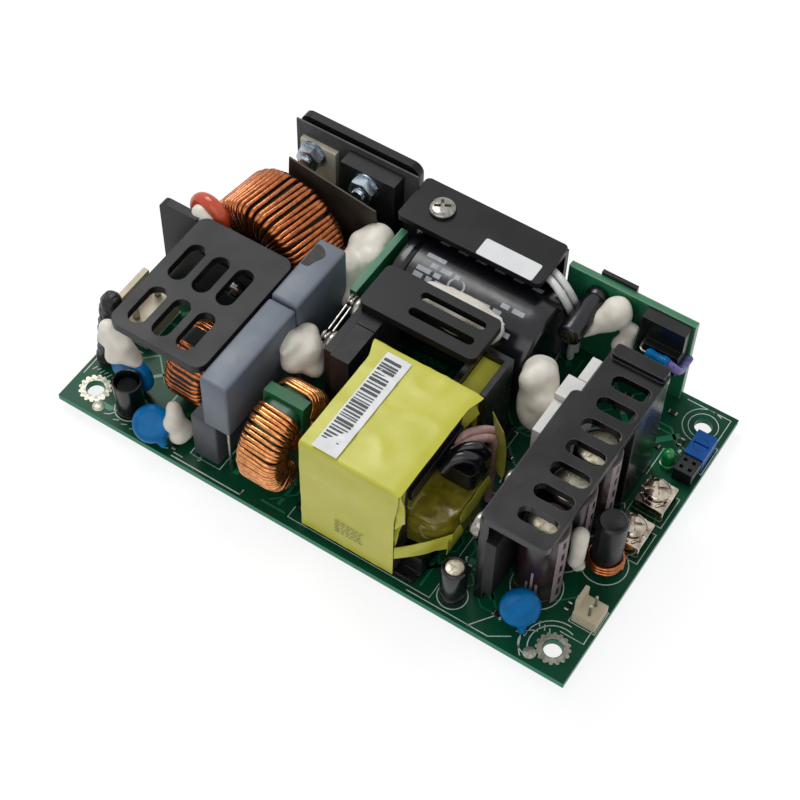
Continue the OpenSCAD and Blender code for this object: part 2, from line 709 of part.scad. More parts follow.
// Two white sleeved wires from under the angle heatsink, over the large capacitor and down
sleeve_wire = 1.9;
wire_path = [[16, 33, 27.4], [22.4, 28, 27.9], [25.4, 23.6, 27], [25.6, 22.2, 22.4], [25.6, 22.4, 18.4],
    [25.7, 26, 15.4], [25.8, 29, 10], [25.8, 29, top + 1]];
module sleeved_wires() color("ghostwhite") for (k = [0, 1])
    cable(wire_path + k * second_wire, sleeve_wire);
second_wire = [[0, -2.6, 0.2], [-0.6, -2.6, 0.4], for (i = [0 : 5]) [0, -2.2, 0]];

// Rear heatsink plate with its two upper corners rounded
rear_corner = 2.4;
module rear_heatsink() color("#2b2a2c")
    translate([rear_plate_left + rear_plate_length / 2, rear_plate_back, 0])
        rotate([90, 0, 0]) linear_extrude(rear_plate_thick) {
            translate([0, (top + rear_plate_height) / 2])
                soft_rect(rear_plate_length, rear_plate_height - top, rear_corner);
            translate([0, top + 3]) square([rear_plate_length, 6], center = true);
        }

// Thin grey sheet between the rear plate and its rectifiers
sheet = 0.4;
insulator_y = rear_plate_front - 1.3;
module rear_insulator() color("gray")
    block([rear_plate_left - 0.4, rear_plate_left + rear_plate_length + 0.6],
        [insulator_y, insulator_y + sheet], [top + 1, rear_plate_height - 0.8]);

// Rear rectifiers: one under a pale cap, one black
device_back = insulator_y - 0.02;
pale_x = [-48, -38.6];
pale_thick = 1.4;
black_x = [-35.4, -21.4];
black_thick = 4.1;
module rear_rectifier_pale() color("ivory") {
    block(pale_x, [device_back - pale_thick, device_back], [top + 5, 28.6]);
}
module rear_rectifier_black() color("#232325") {
    block(black_x, [device_back - black_thick, device_back], [top + 5, 31]);
}

// Nuts and bolt ends that clamp the rear rectifiers
nut_across = 5.5;
nut_height = 2.4;
nut_places = [[-44.4, device_back - pale_thick, 25.8], [-28.6, device_back - black_thick, 27.4]];
module rear_nuts() color("lightsteelblue") for (p = nut_places) translate(p) rotate([90, 0, 0]) {
    cylinder(h = nut_height, d = nut_across / cos(30), $fn = 6);
    cylinder(h = nut_height + 1.5, d = 3);
    cylinder(h = 0.5, d = 7);
}

// Thin dark shield standing between the large choke and the rear rectifiers
shield_y = 24.2;
module rear_shield() color("#252323") translate([0, shield_y, 0]) rotate([90, 0, 0])
    linear_extrude(sheet) polygon([[-46, top], [-44.4, 32.9], [-21.9, 29.2], [-21.5, 24.4], [-21.5, top]]);

// Screws: angle heatsink, left bridge, centre bracket and right heatsink
screw_head = 5.6;
module machine_screws() color("silver") {
    translate([angle_screw[0], angle_screw[1], angle_height]) pan_screw(6, 1.5, 2.9, 3);
    translate([bridge_x + bridge_size[0] / 2, left_wall_front - bridge_size[1],
        bridge_base + bridge_size[2] - 5]) rotate([90, 0, 0]) pan_screw(screw_head, 2, 2.9, 3);
    for (i = [0, 1]) translate([bracket_left, centre_device_y[i], centre_screw_z[i]])
        rotate([0, -90, 0]) pan_screw(screw_head, 1.7, 2.9, 0);
    for (y = right_screw_y) translate([right_left, y, 25.6]) rotate([0, -90, 0])
        pan_screw(screw_head, 2.6, 2.9, 0);
}

// Daughter board standing at the rear right
module daughter_board() color("seagreen")
    block([daughter_left, daughter_left + daughter_length],
        [daughter_front, daughter_front + daughter_thick], [top, daughter_height]);

// Black parts on the daughter board: a chip behind, a stepped plastic part in front
stepped_x = from(daughter_left + 19.5, 10.3);
module daughter_parts() color("#1d1d1f") {
    block(from(daughter_left + 7, 8.5), [daughter_front + daughter_thick, edge_y + 0.4], [20.6, 27.9]);
    block(stepped_x, [daughter_front - 3.2, daughter_front], [15, 26.6]);
    block([stepped_x[0] + 2, stepped_x[1]], [daughter_front - 5, daughter_front - 3.2], [15, 21]);
}

// Small capacitor lying with its leads in the daughter board
lying_at = [daughter_left + 6.9, 22.6];
lying_diameter = 5;
lying_length = 11;
module lying_capacitor() color("#1e2026")
    rod_y(lying_at[0], from(daughter_front - seat - lying_length, lying_length), lying_at[1],
        lying_diameter);

// White moulded spacers between the adhesive and the right heatsink
module white_spacers() color("white") {
    block([33.6, 36.6], [-3, 6], [top, 24]);
    block([33.4, 37.6], [6.2, 12], [top, 25.6]);
    block([35.4, 37.6], [12.2, 18.6], [top, 25.6]);
}

// Right heatsink: left wall, slotted top with a narrower rear end, short right wall at the rear
right_slots = 7;
right_top_z = [right_height - right_sheet, right_height];
right_step = 1.8;
right_step_y = right_rear - 14;
right_screw_y = [right_front + 2.8, right_front + 14.4];
module right_heatsink() color("#242427") {
    difference() {
        union() {
            soft_box([right_left, right_left + right_width], [right_front, right_step_y],
                right_top_z, 1.6);
            soft_box([right_left + right_step, right_left + right_width],
                [right_step_y - 8, right_rear], right_top_z, 1.6);
        }
        for (i = [0 : right_slots - 1])
            translate([right_left + right_width / 2 + 2.2, right_front + 5.4 + i * right_slot_pitch,
                right_top_z[0] - 1])
                linear_extrude(right_sheet + 2) slot(8.6, right_slot_width);
    }
    block([right_left, right_left + right_sheet], [right_front + 0.6, right_step_y - 1.6],
        [top, right_top_z[1] - 1]);
    block([right_left + right_width - right_sheet, right_left + right_width],
        [right_rear - 15, right_rear - 1.6], [top, right_top_z[1] - 1]);
    soft_box([right_left + right_step + 0.6, right_left + right_width - 0.4],
        [right_rear - 3.4, right_rear - 0.2], [right_height - 1, right_height + 1.4], 0.8);
}

// Output rectifiers on the right heatsink's left wall, inside
module output_rectifiers() color("#19191b") for (y = right_screw_y)
    translate([right_left + right_sheet, y - 3, 6.6]) cube([2.4, 10, 19]);

// Output capacitors: sleeves with a rolled rim and a recessed top
module can_capacitor(diameter, height) rotate_extrude() difference() {
    union() {
        square([diameter / 2 - 0.5, height]);
        square([diameter / 2, height - 0.5]);
        translate([diameter / 2 - 0.5, height - 0.5]) circle(0.5, $fn = 24);
    }
    translate([-1, height - 0.3]) square([diameter / 2 - 0.2, 1]);
    translate([-diameter, -1]) square([diameter, height + 2]);
}
module output_capacitors() color("#3d2228") for (i = [0 : 2])
    translate([output_cap_x, -21.8 + i * (output_cap_diameter + clear), top])
        can_capacitor(output_cap_diameter, output_cap_height);
module standing_capacitor() color("#4a4c50")
    translate([small_cap_at[0], small_cap_at[1], top])
        can_capacitor(small_cap_diameter, small_cap_height);

// Trimmer: a blue body with a round pocket, and the slotted rotor that turns in it
pocket_depth = 1.1;
rotor_gap = 0.12;
pivot_diameter = 1;
pivot_depth = 1.2;
module trimmer_body() color("#1456b8") translate([trimmer_at[0], trimmer_at[1], top]) difference() {
    translate([-trimmer_width / 2, -trimmer_length / 2, 0])
        cube([trimmer_width, trimmer_length, trimmer_height]);
    translate([0, 0, trimmer_height - pocket_depth])
        cylinder(h = pocket_depth + 1, d = rotor_diameter + 2 * rotor_gap);
    translate([0, 0, trimmer_height - pocket_depth - pivot_depth])
        cylinder(h = pivot_depth + 1, d = pivot_diameter + 2 * rotor_gap);
}
module trimmer_rotor() color("#2a6ac8")
    translate([trimmer_at[0], trimmer_at[1], top + trimmer_height - pocket_depth + rotor_gap])
        difference() {
            union() {
                cylinder(h = pocket_depth - rotor_gap, d = rotor_diameter);
                translate([0, 0, -pivot_depth]) cylinder(h = pivot_depth + 0.1, d = pivot_diameter);
            }
            translate([-2.4, -0.3, pocket_depth - rotor_gap - 0.5]) cube([4.8, 0.6, 1]);
        }

// Green indicator and the black socket beside the trimmer
socket_size = [4.6, 4.6, 4];
module indicator_and_socket() {
    color("green") translate([led_at[0], led_at[1], top]) {
        cylinder(h = 1, d = led_diameter + 0.6);
        cylinder(h = 3.4, d = led_diameter);
        translate([0, 0, 3.4]) sphere(d = led_diameter);
    }
    color("#141414") translate([trimmer_at[0] - socket_size[0] / 2 - 0.1,
        trimmer_at[1] - trimmer_length / 2 - socket_size[1] - 0.1, top]) difference() {
        cube(socket_size);
        for (i = [0, 1], j = [0, 1])
            translate([1.3 + i * 2, 1.3 + j * 2, socket_size[2] - 2]) cylinder(h = 3, d = 0.7);
    }
}

// Screw terminals: a bent metal bridge each, with its screw on top
terminal_size = [7, 7.4];
terminal_sheet = 1;
terminal_top = 6.2;
module output_terminals() color("silver") for (j = [0, 1])
    translate([terminal_at[0], terminal_at[1] - j * terminal_pitch, 0]) {
        difference() {
            block(terminal_size[0] / 2 * [-1, 1], terminal_size[1] / 2 * [-1, 1],
                [top, terminal_top]);
            block((terminal_size[0] / 2 + 1) * [-1, 1], (terminal_size[1] / 2 - terminal_sheet) * [-1, 1],
                [top - 1, terminal_top - terminal_sheet]);
            cylinder(h = 20, d = 3.4);
        }
        translate([0, 0, terminal_top]) pan_screw(terminal_screw_head, 2.2, 3.2, 4);
        translate([0, 0, terminal_top - 0.01]) cylinder(h = 0.6, d = terminal_screw_head + 0.8);
    }

// Rod choke: a black sleeved rod standing in a few loops of copper
loop_diameter = 0.9;
loop_radius = rod_diameter / 2 + loop_diameter / 2 + 0.06;
module rod_choke_core() color("#222326") translate([rod_at[0], rod_at[1], top + seat]) {
    cylinder(h = rod_height, d = rod_diameter);
    cylinder(h = 2.6, d = rod_diameter + 0.6);
}
module rod_choke_winding() color("#b8622a") translate([rod_at[0], rod_at[1], top + seat + 3.9]) {
    rotate_extrude() translate([loop_radius, 0])
        circle(d = loop_diameter, $fn = 24);
    for (k = [-1, 1]) rotate(k * 60 - 30) translate([loop_radius + 0.3, 0, -4.1])
        cylinder(h = 4.1, d = loop_diameter, $fn = 24);
}

// Bare leads that show: raised film capacitor, orange disc, disc capacitors, varistor
module lead(x, y, z) translate([x, y, z[0]])
    cylinder(h = z[1] - z[0], d = lead_diameter, $fn = 16);
module component_leads() color("silver") {
    for (y = [1.2, film_front_length - 1.2])
        lead(film_left + film_width - 1.2, film_front_y + y, [top, film_raised_base]);
    for (k = [-1, 1]) lead(orange_at[0] + k * 2.4, orange_at[1], [top, orange_at[2] - orange_lead_gap]);
    for (k = [-1, 1]) lead(pfc_x + k * 2, pfc_y, [top, top + pfc_lift]);
    for (k = [-1, 1]) lead(varistor_at[0] + k * 2.4, varistor_at[1], [top, top + 0.65]);
}

// White silicone: a bead between two or more balls, smooth between them
module bead(balls) hull() for (b = balls)
    translate([b[0], b[1], b[2]]) sphere(b[3], $fn = 20);
touch = 0.06;                // clearance that keeps the silicone off the pieces it holds
module adhesive() color("#e9e4d8") difference() {
    union() {
        bead([[-54.4, -28.8, 21.4, 2.8], [-50.6, -29.6, 18.4, 3], [-48.4, -28.6, 14.85, 2.2]]);
        bead([[-36.6, -31.6, 10, 2], [-34.2, -33, top + 2.9, 2.8]]);
        bead([[-50.9, 4.75, 18.4, 3.15], [-50.9, 4.6, 21.6, 2.2]]);
        bead([[-21, 13, 19.4, 4.6], [-20.6, 22.6, 22.2, 4.3]]);
        bead([[-15.4, -11.4, 23.6, 3.9], [-14.8, -9.4, 18, 3]]);
        bead([[-2, 15.4, 22.4, 4.4], [6, 15, 22.6, 5], [13.6, 15.4, 22.4, 4.4]]);
        bead([[28.2, 9.8, 22.6, 4.3], [28.8, 6, 15.4, 3.6]]);
        bead([[33.4, 32.2, 24.3, 3.8], [29.6, 32.8, 16, 1.6]]);
        bead([[37.4, 33, 20, 2.2], [36, 31, 12, 2.4]]);
        bead([[53.1, -16.4, 9.6, 2.2], [53.1, -16.4, 19, 2.2]]);
    }
    rod_x([riser_x, bulk_right], bulk_y, bulk_z, bulk_diameter + 2 * touch);
    block([film_left - touch, film_left + film_width + touch], [film_front_y, film_rear_y + film_rear_length],
        [top, top + film_rear_height]);
    at_pfc() cylinder(h = pfc_thick + 2 * touch, d = pfc_diameter + 2 * touch, center = true);
    for (k = [-1, 1]) translate([orange_at[0] + k * 2.4, orange_at[1], top])
        cylinder(h = 30, d = lead_diameter + 2 * touch, $fn = 16);
    translate(orange_at) rotate([90, 0, pfc_turned])
        cylinder(h = orange_thick, d = orange_diameter + 2 * touch, center = true);
    block([-50, -21.4 + touch], [shield_y - sheet - touch, shield_y + touch], [top, 40]);
    block(aux_x + [-touch, touch], aux_y + [-touch, touch], aux_z);
    block([daughter_left, daughter_left + daughter_length], [daughter_front - touch, edge_y], [top, 40]);
    rod_y(lying_at[0], [20, daughter_front], lying_at[1], lying_diameter + 2 * touch);
    block(stepped_x + [-touch, touch], [daughter_front - 5, daughter_front], [15 - touch, 27]);
    translate(disc_places[0]) rotate([disc_turns[0][0], 0, disc_turns[0][2]]) rotate([90, 0, 0])
        cylinder(h = disc_thick + 2 * touch, d = disc_diameter + 2 * touch, center = true);
}

board();
board_lands();
solder_joints();
component_leads();
input_connector();
connector_pins();
sleeved_fuse();
varistor();
fusible_resistor();
resistor_sleeve();
disc_capacitors();
line_choke_core();
line_choke_winding();
left_heatsink();
bridge_rectifier();
orange_disc();
film_capacitor_low();
film_capacitor_raised();
film_capacitor_rear();
pfc_choke_core();
pfc_choke_winding();
mode_choke_core();
mode_choke_winding();
mode_choke_divider();
transformer_core();
transformer_bobbin();
transformer_tape();
transformer_winding();
transformer_leads();
centre_bracket();
centre_transistors();
small_transformer_bobbin();
small_transformer_tape();
bulk_capacitor();
riser_board();
angle_heatsink();
sleeved_wires();
rear_heatsink();
rear_insulator();
rear_rectifier_pale();
rear_rectifier_black();
rear_nuts();
rear_shield();
machine_screws();
daughter_board();
daughter_parts();
lying_capacitor();
white_spacers();
right_heatsink();
output_rectifiers();
output_capacitors();
standing_capacitor();
trimmer_body();
trimmer_rotor();
output_terminals();
rod_choke_core();
rod_choke_winding();
fan_connector();
indicator_and_socket();
adhesive();
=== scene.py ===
"""Looks of the open frame power supply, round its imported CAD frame. Sizes are millimetres until make()."""
import math
import random

import bmesh
import bpy
from mathutils import Matrix, Vector, noise


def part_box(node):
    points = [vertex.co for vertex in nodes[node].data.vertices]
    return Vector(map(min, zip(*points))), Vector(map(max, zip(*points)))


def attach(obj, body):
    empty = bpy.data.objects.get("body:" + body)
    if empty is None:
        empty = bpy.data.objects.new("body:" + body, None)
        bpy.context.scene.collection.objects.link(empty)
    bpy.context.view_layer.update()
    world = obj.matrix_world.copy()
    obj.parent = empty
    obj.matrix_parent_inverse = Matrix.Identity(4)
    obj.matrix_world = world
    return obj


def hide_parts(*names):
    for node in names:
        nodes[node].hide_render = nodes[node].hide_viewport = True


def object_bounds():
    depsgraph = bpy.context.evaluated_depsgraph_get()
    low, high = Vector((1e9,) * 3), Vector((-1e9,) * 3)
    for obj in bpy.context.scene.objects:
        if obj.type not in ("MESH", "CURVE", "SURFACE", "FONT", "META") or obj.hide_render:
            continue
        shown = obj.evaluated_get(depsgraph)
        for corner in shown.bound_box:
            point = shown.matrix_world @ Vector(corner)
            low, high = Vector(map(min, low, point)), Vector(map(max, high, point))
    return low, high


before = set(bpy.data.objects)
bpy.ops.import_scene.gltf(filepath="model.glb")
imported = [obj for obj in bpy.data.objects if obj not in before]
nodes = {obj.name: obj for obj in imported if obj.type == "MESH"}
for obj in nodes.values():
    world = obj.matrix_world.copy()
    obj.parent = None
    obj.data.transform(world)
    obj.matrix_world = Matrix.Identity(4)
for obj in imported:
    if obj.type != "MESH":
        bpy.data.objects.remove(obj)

MM = 0.001
SUPPLY = "supply"
HOLE_X, HOLE_Y = 115.57 / 2, 64.77 / 2  # the four mounting holes stand this far from the middle
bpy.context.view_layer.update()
random.seed(11)


def limits(node):
    """Lowest and highest corner of a CAD node, in millimetres."""
    low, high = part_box(node)
    return low / MM, high / MM


# ---------------------------------------------------------------- materials

def srgb(code):
    """A hex colour as linear numbers."""
    parts = [int(code[i:i + 2], 16) / 255 for i in (1, 3, 5)]
    return [p / 12.92 if p <= 0.04045 else ((p + 0.055) / 1.055) ** 2.4 for p in parts] + [1.0]


def add(tree, kind, inputs=None, **settings):
    """Adds a shader node, with its settings, values and links."""
    node = tree.nodes.new("ShaderNode" + kind)
    for name, value in settings.items():
        setattr(node, name, value)
    for name, value in (inputs or {}).items():
        if isinstance(value, bpy.types.NodeSocket):
            tree.links.new(value, node.inputs[name])
        else:
            node.inputs[name].default_value = value
    return node


def finish(name, colour, other, patch=5.0, rough=(0.4, 0.5), grain=0.3, depth=0.02, edge=None,
           edge_width=0.35, stretch=(1, 1, 1), **shader):
    """A surface with patches of a second tone, gloss that changes with them, a fine grain and paler edges.
    The pale edge tone is a painted highlight along rounded edges, except on the riser boards, where it
    stands for the glass of their cut edge.

    patch, grain, depth and edge_width are millimetres. Grain under about 0.1 mm is too fine to show, so the
    finest grains are drawn coarser than they are.
    """
    material = bpy.data.materials.new(name)
    material.use_nodes = True
    tree = material.node_tree
    shade = tree.nodes["Principled BSDF"]
    for socket, value in shader.items():
        shade.inputs[socket.replace("_", " ")].default_value = value
    place = add(tree, "TexCoord").outputs["Object"]
    place = add(tree, "Mapping", {"Vector": place, "Scale": stretch}).outputs[0]
    patches = add(tree, "TexNoise", {"Vector": place, "Scale": 1 / (patch * MM), "Detail": 5.0}).outputs[0]
    share = add(tree, "MapRange", {0: patches, 1: 0.35, 2: 0.65}).outputs[0]
    tone = add(tree, "Mix", {0: share, 6: srgb(colour), 7: srgb(other)}, data_type="RGBA").outputs[2]
    fine = add(tree, "TexNoise", {"Vector": place, "Scale": 1 / (grain * MM), "Detail": 2.0}).outputs[0]
    normal = add(tree, "Bump", {"Strength": 1.0, "Distance": depth * MM, "Height": fine})
    if edge:
        # Painted highlight: the edge colour is mixed in where the bevelled normal turns away from the true
        # one
        round_edge = add(tree, "Bevel", {"Radius": edge_width * MM}, samples=4).outputs[0]
        true = add(tree, "NewGeometry").outputs["Normal"]
        facing = add(tree, "VectorMath", {0: round_edge, 1: true}, operation="DOT_PRODUCT").outputs["Value"]
        pale_edge_share = add(tree, "MapRange", {0: facing, 1: 0.97, 2: 0.8}).outputs[0]
        tone = add(tree, "Mix", {0: pale_edge_share, 6: tone, 7: srgb(edge)}, data_type="RGBA").outputs[2]
        tree.links.new(round_edge, normal.inputs["Normal"])
    tree.links.new(tone, shade.inputs["Base Color"])
    dullness = add(tree, "MapRange", {0: patches, 1: 0.3, 2: 0.7, 3: rough[0], 4: rough[1]}).outputs[0]
    tree.links.new(dullness, shade.inputs["Roughness"])
    tree.links.new(normal.outputs[0], shade.inputs["Normal"])
    return material


# Black anodised aluminium: bent sheet, satin, its edges lighter grey as a painted highlight
anodised = finish("black_anodised_sheet", "#121214", "#1a1a1c", patch=9, rough=(0.3, 0.42), grain=0.22,
                  depth=0.012, edge="#48484c", edge_width=0.25, Specular_IOR_Level=0.2)
# The same sheet with a smoother etch: it mirrors the lamps in long streaks, and its grey edges are a painted
# highlight
gloss_anodised = finish("polished_anodised_sheet", "#0c0c0e", "#131315", patch=7, rough=(0.16, 0.28),
                        grain=0.3, depth=0.01, edge="#5a5a5f", edge_width=0.35, Specular_IOR_Level=0.35)
# Moulded epoxy of transistors and rectifiers: dull black with a fine mould grain, its greyer edges a painted
# highlight
moulding = finish("black_moulded_epoxy", "#121213", "#19191a", patch=3, rough=(0.42, 0.55), grain=0.15,
                  depth=0.02, edge="#303033", edge_width=0.2, Specular_IOR_Level=0.3)
# Nylon and glass bobbins: black, a little shinier than the epoxy, their greyer edges a painted highlight
bobbin = finish("black_moulded_nylon", "#0f0f11", "#161618", patch=4, rough=(0.2, 0.32), grain=0.3,
                depth=0.015, edge="#2c2d31", edge_width=0.3, Specular_IOR_Level=0.35)
# Sintered ferrite: dark grey and dry
ferrite = finish("sintered_ferrite", "#1b1a1b", "#242325", patch=2, rough=(0.6, 0.75), grain=0.2, depth=0.03,
                 Specular_IOR_Level=0.3)
# Ferrite under a thin green coat: dull, without the speckle of the bare core
green_ferrite = finish("coated_ferrite", "#1d4a30", "#235838", patch=3, rough=(0.35, 0.5), grain=0.5,
                       depth=0.02)
# Moulded nylon of the divider: plain green, paler along its edges as a painted highlight
green_nylon = finish("green_moulded_nylon", "#12532f", "#176238", patch=4, rough=(0.3, 0.45), grain=0.4,
                     depth=0.01, edge="#3f8a5c", edge_width=0.2)
# Enamelled copper: metal under a clear lacquer, redder where the lacquer is thick
enamel = finish("enamelled_copper", "#b9682a", "#8a4616", patch=0.9, rough=(0.16, 0.28), grain=0.5,
                depth=0.006, Metallic=0.85, Coat_Weight=0.6, Coat_Roughness=0.12)
# The same wire with a thinner lacquer: paler and yellower
pale_enamel = finish("pale_enamelled_copper", "#df9a58", "#b46c34", patch=1.0, rough=(0.16, 0.28), grain=0.5,
                     depth=0.006, Metallic=0.85, Coat_Weight=0.6, Coat_Roughness=0.12)
# Polyester film cases of the box capacitors: slate grey, satin, their paler edges a painted highlight
grey_case = finish("slate_moulded_case", "#6a737e", "#626b76", patch=7, rough=(0.38, 0.5), grain=0.35,
                   depth=0.012, edge="#8d97a2", edge_width=0.35)
# The low case is the same slate moulding, drawn darker as painted shade, its paler edges a painted highlight
shaded_case = finish("shaded_moulded_case", "#4a4d52", "#42454a", patch=7, rough=(0.45, 0.55), grain=0.35,
                   depth=0.012, edge="#6b6f75", edge_width=0.3)
# Shrunk polyester sleeve: thin, very glossy, with faint ripples
sleeve = finish("black_shrunk_sleeve", "#0e0f13", "#15161b", patch=6, rough=(0.16, 0.26), grain=2.4,
                depth=0.03, Specular_IOR_Level=0.45)
# The output cans have the same sleeve in a red brown that is nearly black
maroon_sleeve = finish("maroon_shrunk_sleeve", "#23131a", "#2f1a22", patch=5, rough=(0.18, 0.28), grain=2.2,
                       depth=0.03, Specular_IOR_Level=0.4)
# Heat shrink tube is thicker: satin, with soft folds
rubber_sleeve = finish("black_heat_shrink", "#101012", "#18181b", patch=2.5, rough=(0.3, 0.42), grain=0.9,
                       depth=0.06, Specular_IOR_Level=0.35)
# Epoxy dip: a thick glossy drop that dried smooth
blue_dip = finish("blue_epoxy_dip", "#0078bd", "#006aa8", patch=3, rough=(0.12, 0.2), grain=1.5, depth=0.02,
                  Specular_IOR_Level=0.14)
# The same dip in orange, a little less smooth
orange_dip = finish("orange_epoxy_dip", "#d8512b", "#c74521", patch=3, rough=(0.14, 0.24), grain=1.2,
                    depth=0.02)
# Polyester tape: glossy yellow over dark core, a little milky where it lifts
tape = finish("yellow_polyester_tape", "#d3d04c", "#c8c643", patch=9, rough=(0.24, 0.38), grain=3.2,
              depth=0.03, Specular_IOR_Level=0.4)
# The loose end of the same tape, drawn darker as painted shade where it hangs behind the flange
shaded_tape = finish("shaded_polyester_tape", "#9c9a3c", "#85812c", patch=3, rough=(0.26, 0.4), grain=2,
                   depth=0.05)
# Tape wound over the coil: amber from the copper below, drawn darker still as painted shade, and pulled into
# creases
shaded_wound_tape = finish("shaded_amber_wound_tape", "#8f8424", "#6a5f14", patch=2.4, rough=(0.34, 0.46), grain=1.6,
                    depth=0.12, stretch=(1, 1, 2.5), Specular_IOR_Level=0.14, Coat_Weight=0.6,
                    Coat_Roughness=0.12)
# Room temperature silicone: warm white, soft, with a slight skin
silicone = finish("white_silicone", "#f6f1e4", "#ece5d5", patch=3.5, rough=(0.34, 0.5), grain=1.1,
                  depth=0.05, Subsurface_Weight=0.25, Subsurface_Scale=0.0015)
# Tin over copper leads: grey white and softly brushed
tin = finish("tinned_metal", "#a9a9a3", "#8a8b88", patch=0.8, rough=(0.24, 0.4), grain=0.25, depth=0.01,
             Metallic=1.0)
# Nickel over steel, for the small screws: warmer and glossier than tin
nickel = finish("nickel_plated_steel", "#9c9993", "#77746e", patch=0.9, rough=(0.14, 0.28), grain=0.3,
                depth=0.008, Metallic=1.0)
# Bright zinc over steel, for the nuts: cool and slightly blue
zinc = finish("zinc_plated_steel", "#bcc6d0", "#95a0ab", patch=0.7, rough=(0.2, 0.38), grain=0.3,
              depth=0.01, Metallic=1.0)
# Bare drawn aluminium of the can tops: yellowish and satin
can_metal = finish("drawn_aluminium_can", "#a19c8c", "#86816f", patch=1.2, rough=(0.22, 0.36), grain=0.2,
                   depth=0.01, Metallic=1.0)
# Solder levelled lands of the front holes: dull, a little yellow from flux
land_metal = finish("levelled_solder_land", "#b4b4a4", "#868879", patch=0.7, rough=(0.34, 0.5), grain=0.3,
                    depth=0.04, Metallic=0.8)
# Bright nickel of the clamp screws: mirror patches between darker patches, which are painted reflections of
# the dark parts round them
bright_nickel = finish("bright_nickel_screw", "#c9bfb0", "#8a7f71", patch=2.4, rough=(0.05, 0.16), grain=0.6,
                       depth=0.012, Metallic=1.0)
# Nylon of the wire connectors: cream and slightly see-through, its paler edges a painted highlight
cream_nylon = finish("cream_moulded_nylon", "#d8ccb0", "#cbbea0", patch=3, rough=(0.35, 0.5), grain=0.4,
                     depth=0.01, edge="#eee6d2", edge_width=0.15, Subsurface_Weight=0.15,
                     Subsurface_Scale=0.001)
# White nylon of the spacers: opaque and clean, its paler edges a painted highlight
white_nylon = finish("white_moulded_nylon", "#f1efea", "#e6e4de", patch=4, rough=(0.35, 0.48), grain=0.4,
                     depth=0.012, edge="#f4f4f0", edge_width=0.2)
# Blue nylon of the trimmer: saturated, with soft highlights and a painted highlight on its paler edges
blue_nylon = finish("blue_moulded_nylon", "#0b58a8", "#084c96", patch=3, rough=(0.3, 0.42), grain=0.3,
                    depth=0.01, edge="#3a86d0", edge_width=0.15, Specular_IOR_Level=0.2)
# Turned brass pins: warm metal with fine tool marks
brass_screw = finish("turned_brass", "#b9a26a", "#9c8550", patch=0.6, rough=(0.25, 0.4), grain=0.1,
                     depth=0.01, Metallic=1.0)
# Cast epoxy lens of the indicator: light spreads inside it
green_lens = finish("green_cast_epoxy", "#119048", "#0c7c3c", patch=2, rough=(0.1, 0.16), grain=1.0,
                    depth=0.01, Subsurface_Weight=0.3, Subsurface_Scale=0.001)
# Alumina sheet round the insulated rectifier: chalky and pale, its paler edges a painted highlight
pale_sheet = finish("alumina_sheet", "#d9d4c0", "#cdc7b1", patch=2.5, rough=(0.4, 0.55), grain=0.3,
                    depth=0.01, edge="#efeadb", edge_width=0.15)
# Silicone rubber sheet: flat grey and dry
grey_sheet = finish("silicone_rubber_sheet", "#4a4a4c", "#3f3f42", patch=4, rough=(0.5, 0.65), grain=0.4,
                    depth=0.02)
# Vulcanised fibre sheet: brown black, its edges paler as a painted highlight
dark_sheet = finish("dark_fibre_sheet", "#2b2420", "#35302b", patch=5, rough=(0.4, 0.55), grain=0.5,
                    depth=0.02, edge="#6d665e", edge_width=0.15)
# Braided glass sleeve, dyed pink: the weave is drawn as a coarse grain
pink_sleeve = finish("pink_braided_sleeve", "#cba9a4", "#b98f8a", patch=1.2, rough=(0.4, 0.55), grain=0.35,
                     depth=0.06)
# Extruded silicone sleeve: off white and smooth
white_sleeve = finish("white_silicone_sleeve", "#e2e2de", "#d2d3d0", patch=2, rough=(0.3, 0.42), grain=0.5,
                      depth=0.02)
# Coated label paper: white with a slight sheen
paper = finish("printed_label_paper", "#eceded", "#e2e4e5", patch=4, rough=(0.32, 0.42), grain=0.3,
               depth=0.01)
# Printed ink lies flat: black on labels, grey or pink grey on sleeves, greenish white on the board, and
# faded to olive on the tape
ink = finish("black_label_ink", "#17171a", "#232327", patch=1.5, rough=(0.4, 0.5), grain=0.3, depth=0.002)
grey_ink = finish("grey_sleeve_ink", "#a9adb4", "#979ba3", patch=1.5, rough=(0.35, 0.45), grain=0.4,
                  depth=0.004)
silk = finish("white_board_ink", "#dfe6dd", "#c3d0c4", patch=1.2, rough=(0.5, 0.65), grain=0.25,
              depth=0.01)
faded_ink = finish("faded_tape_ink", "#6b6a34", "#85843f", patch=1, rough=(0.3, 0.45))
pale_ink = finish("pale_sleeve_ink", "#9d8e92", "#8a7b80", patch=1.4, rough=(0.3, 0.4))
# Hardened resin smear: brown black, and duller than the case below it
resin = finish("dark_resin_smudge", "#2b2725", "#45403f", patch=1.2, rough=(0.4, 0.5),
               Specular_IOR_Level=0.2)
# Braided sleeve of the film resistor's lead: violet with pale threads
violet_braid = finish("violet_braided_sleeve", "#5b4a9a", "#8a86c0", patch=1.0, rough=(0.35, 0.5), grain=0.4,
                      depth=0.04)
# Solder mask over copper is a paler green, and paler still over the wide tracks below the board
track_mask = finish("green_mask_over_copper", "#14704a", "#1c8055", patch=6, rough=(0.28, 0.4), grain=0.5,
                    depth=0.01)
wide_track_mask = finish("green_mask_over_wide_copper", "#1f7d52", "#2a8f60", patch=6, rough=(0.28, 0.4),
                         grain=0.5, depth=0.01)


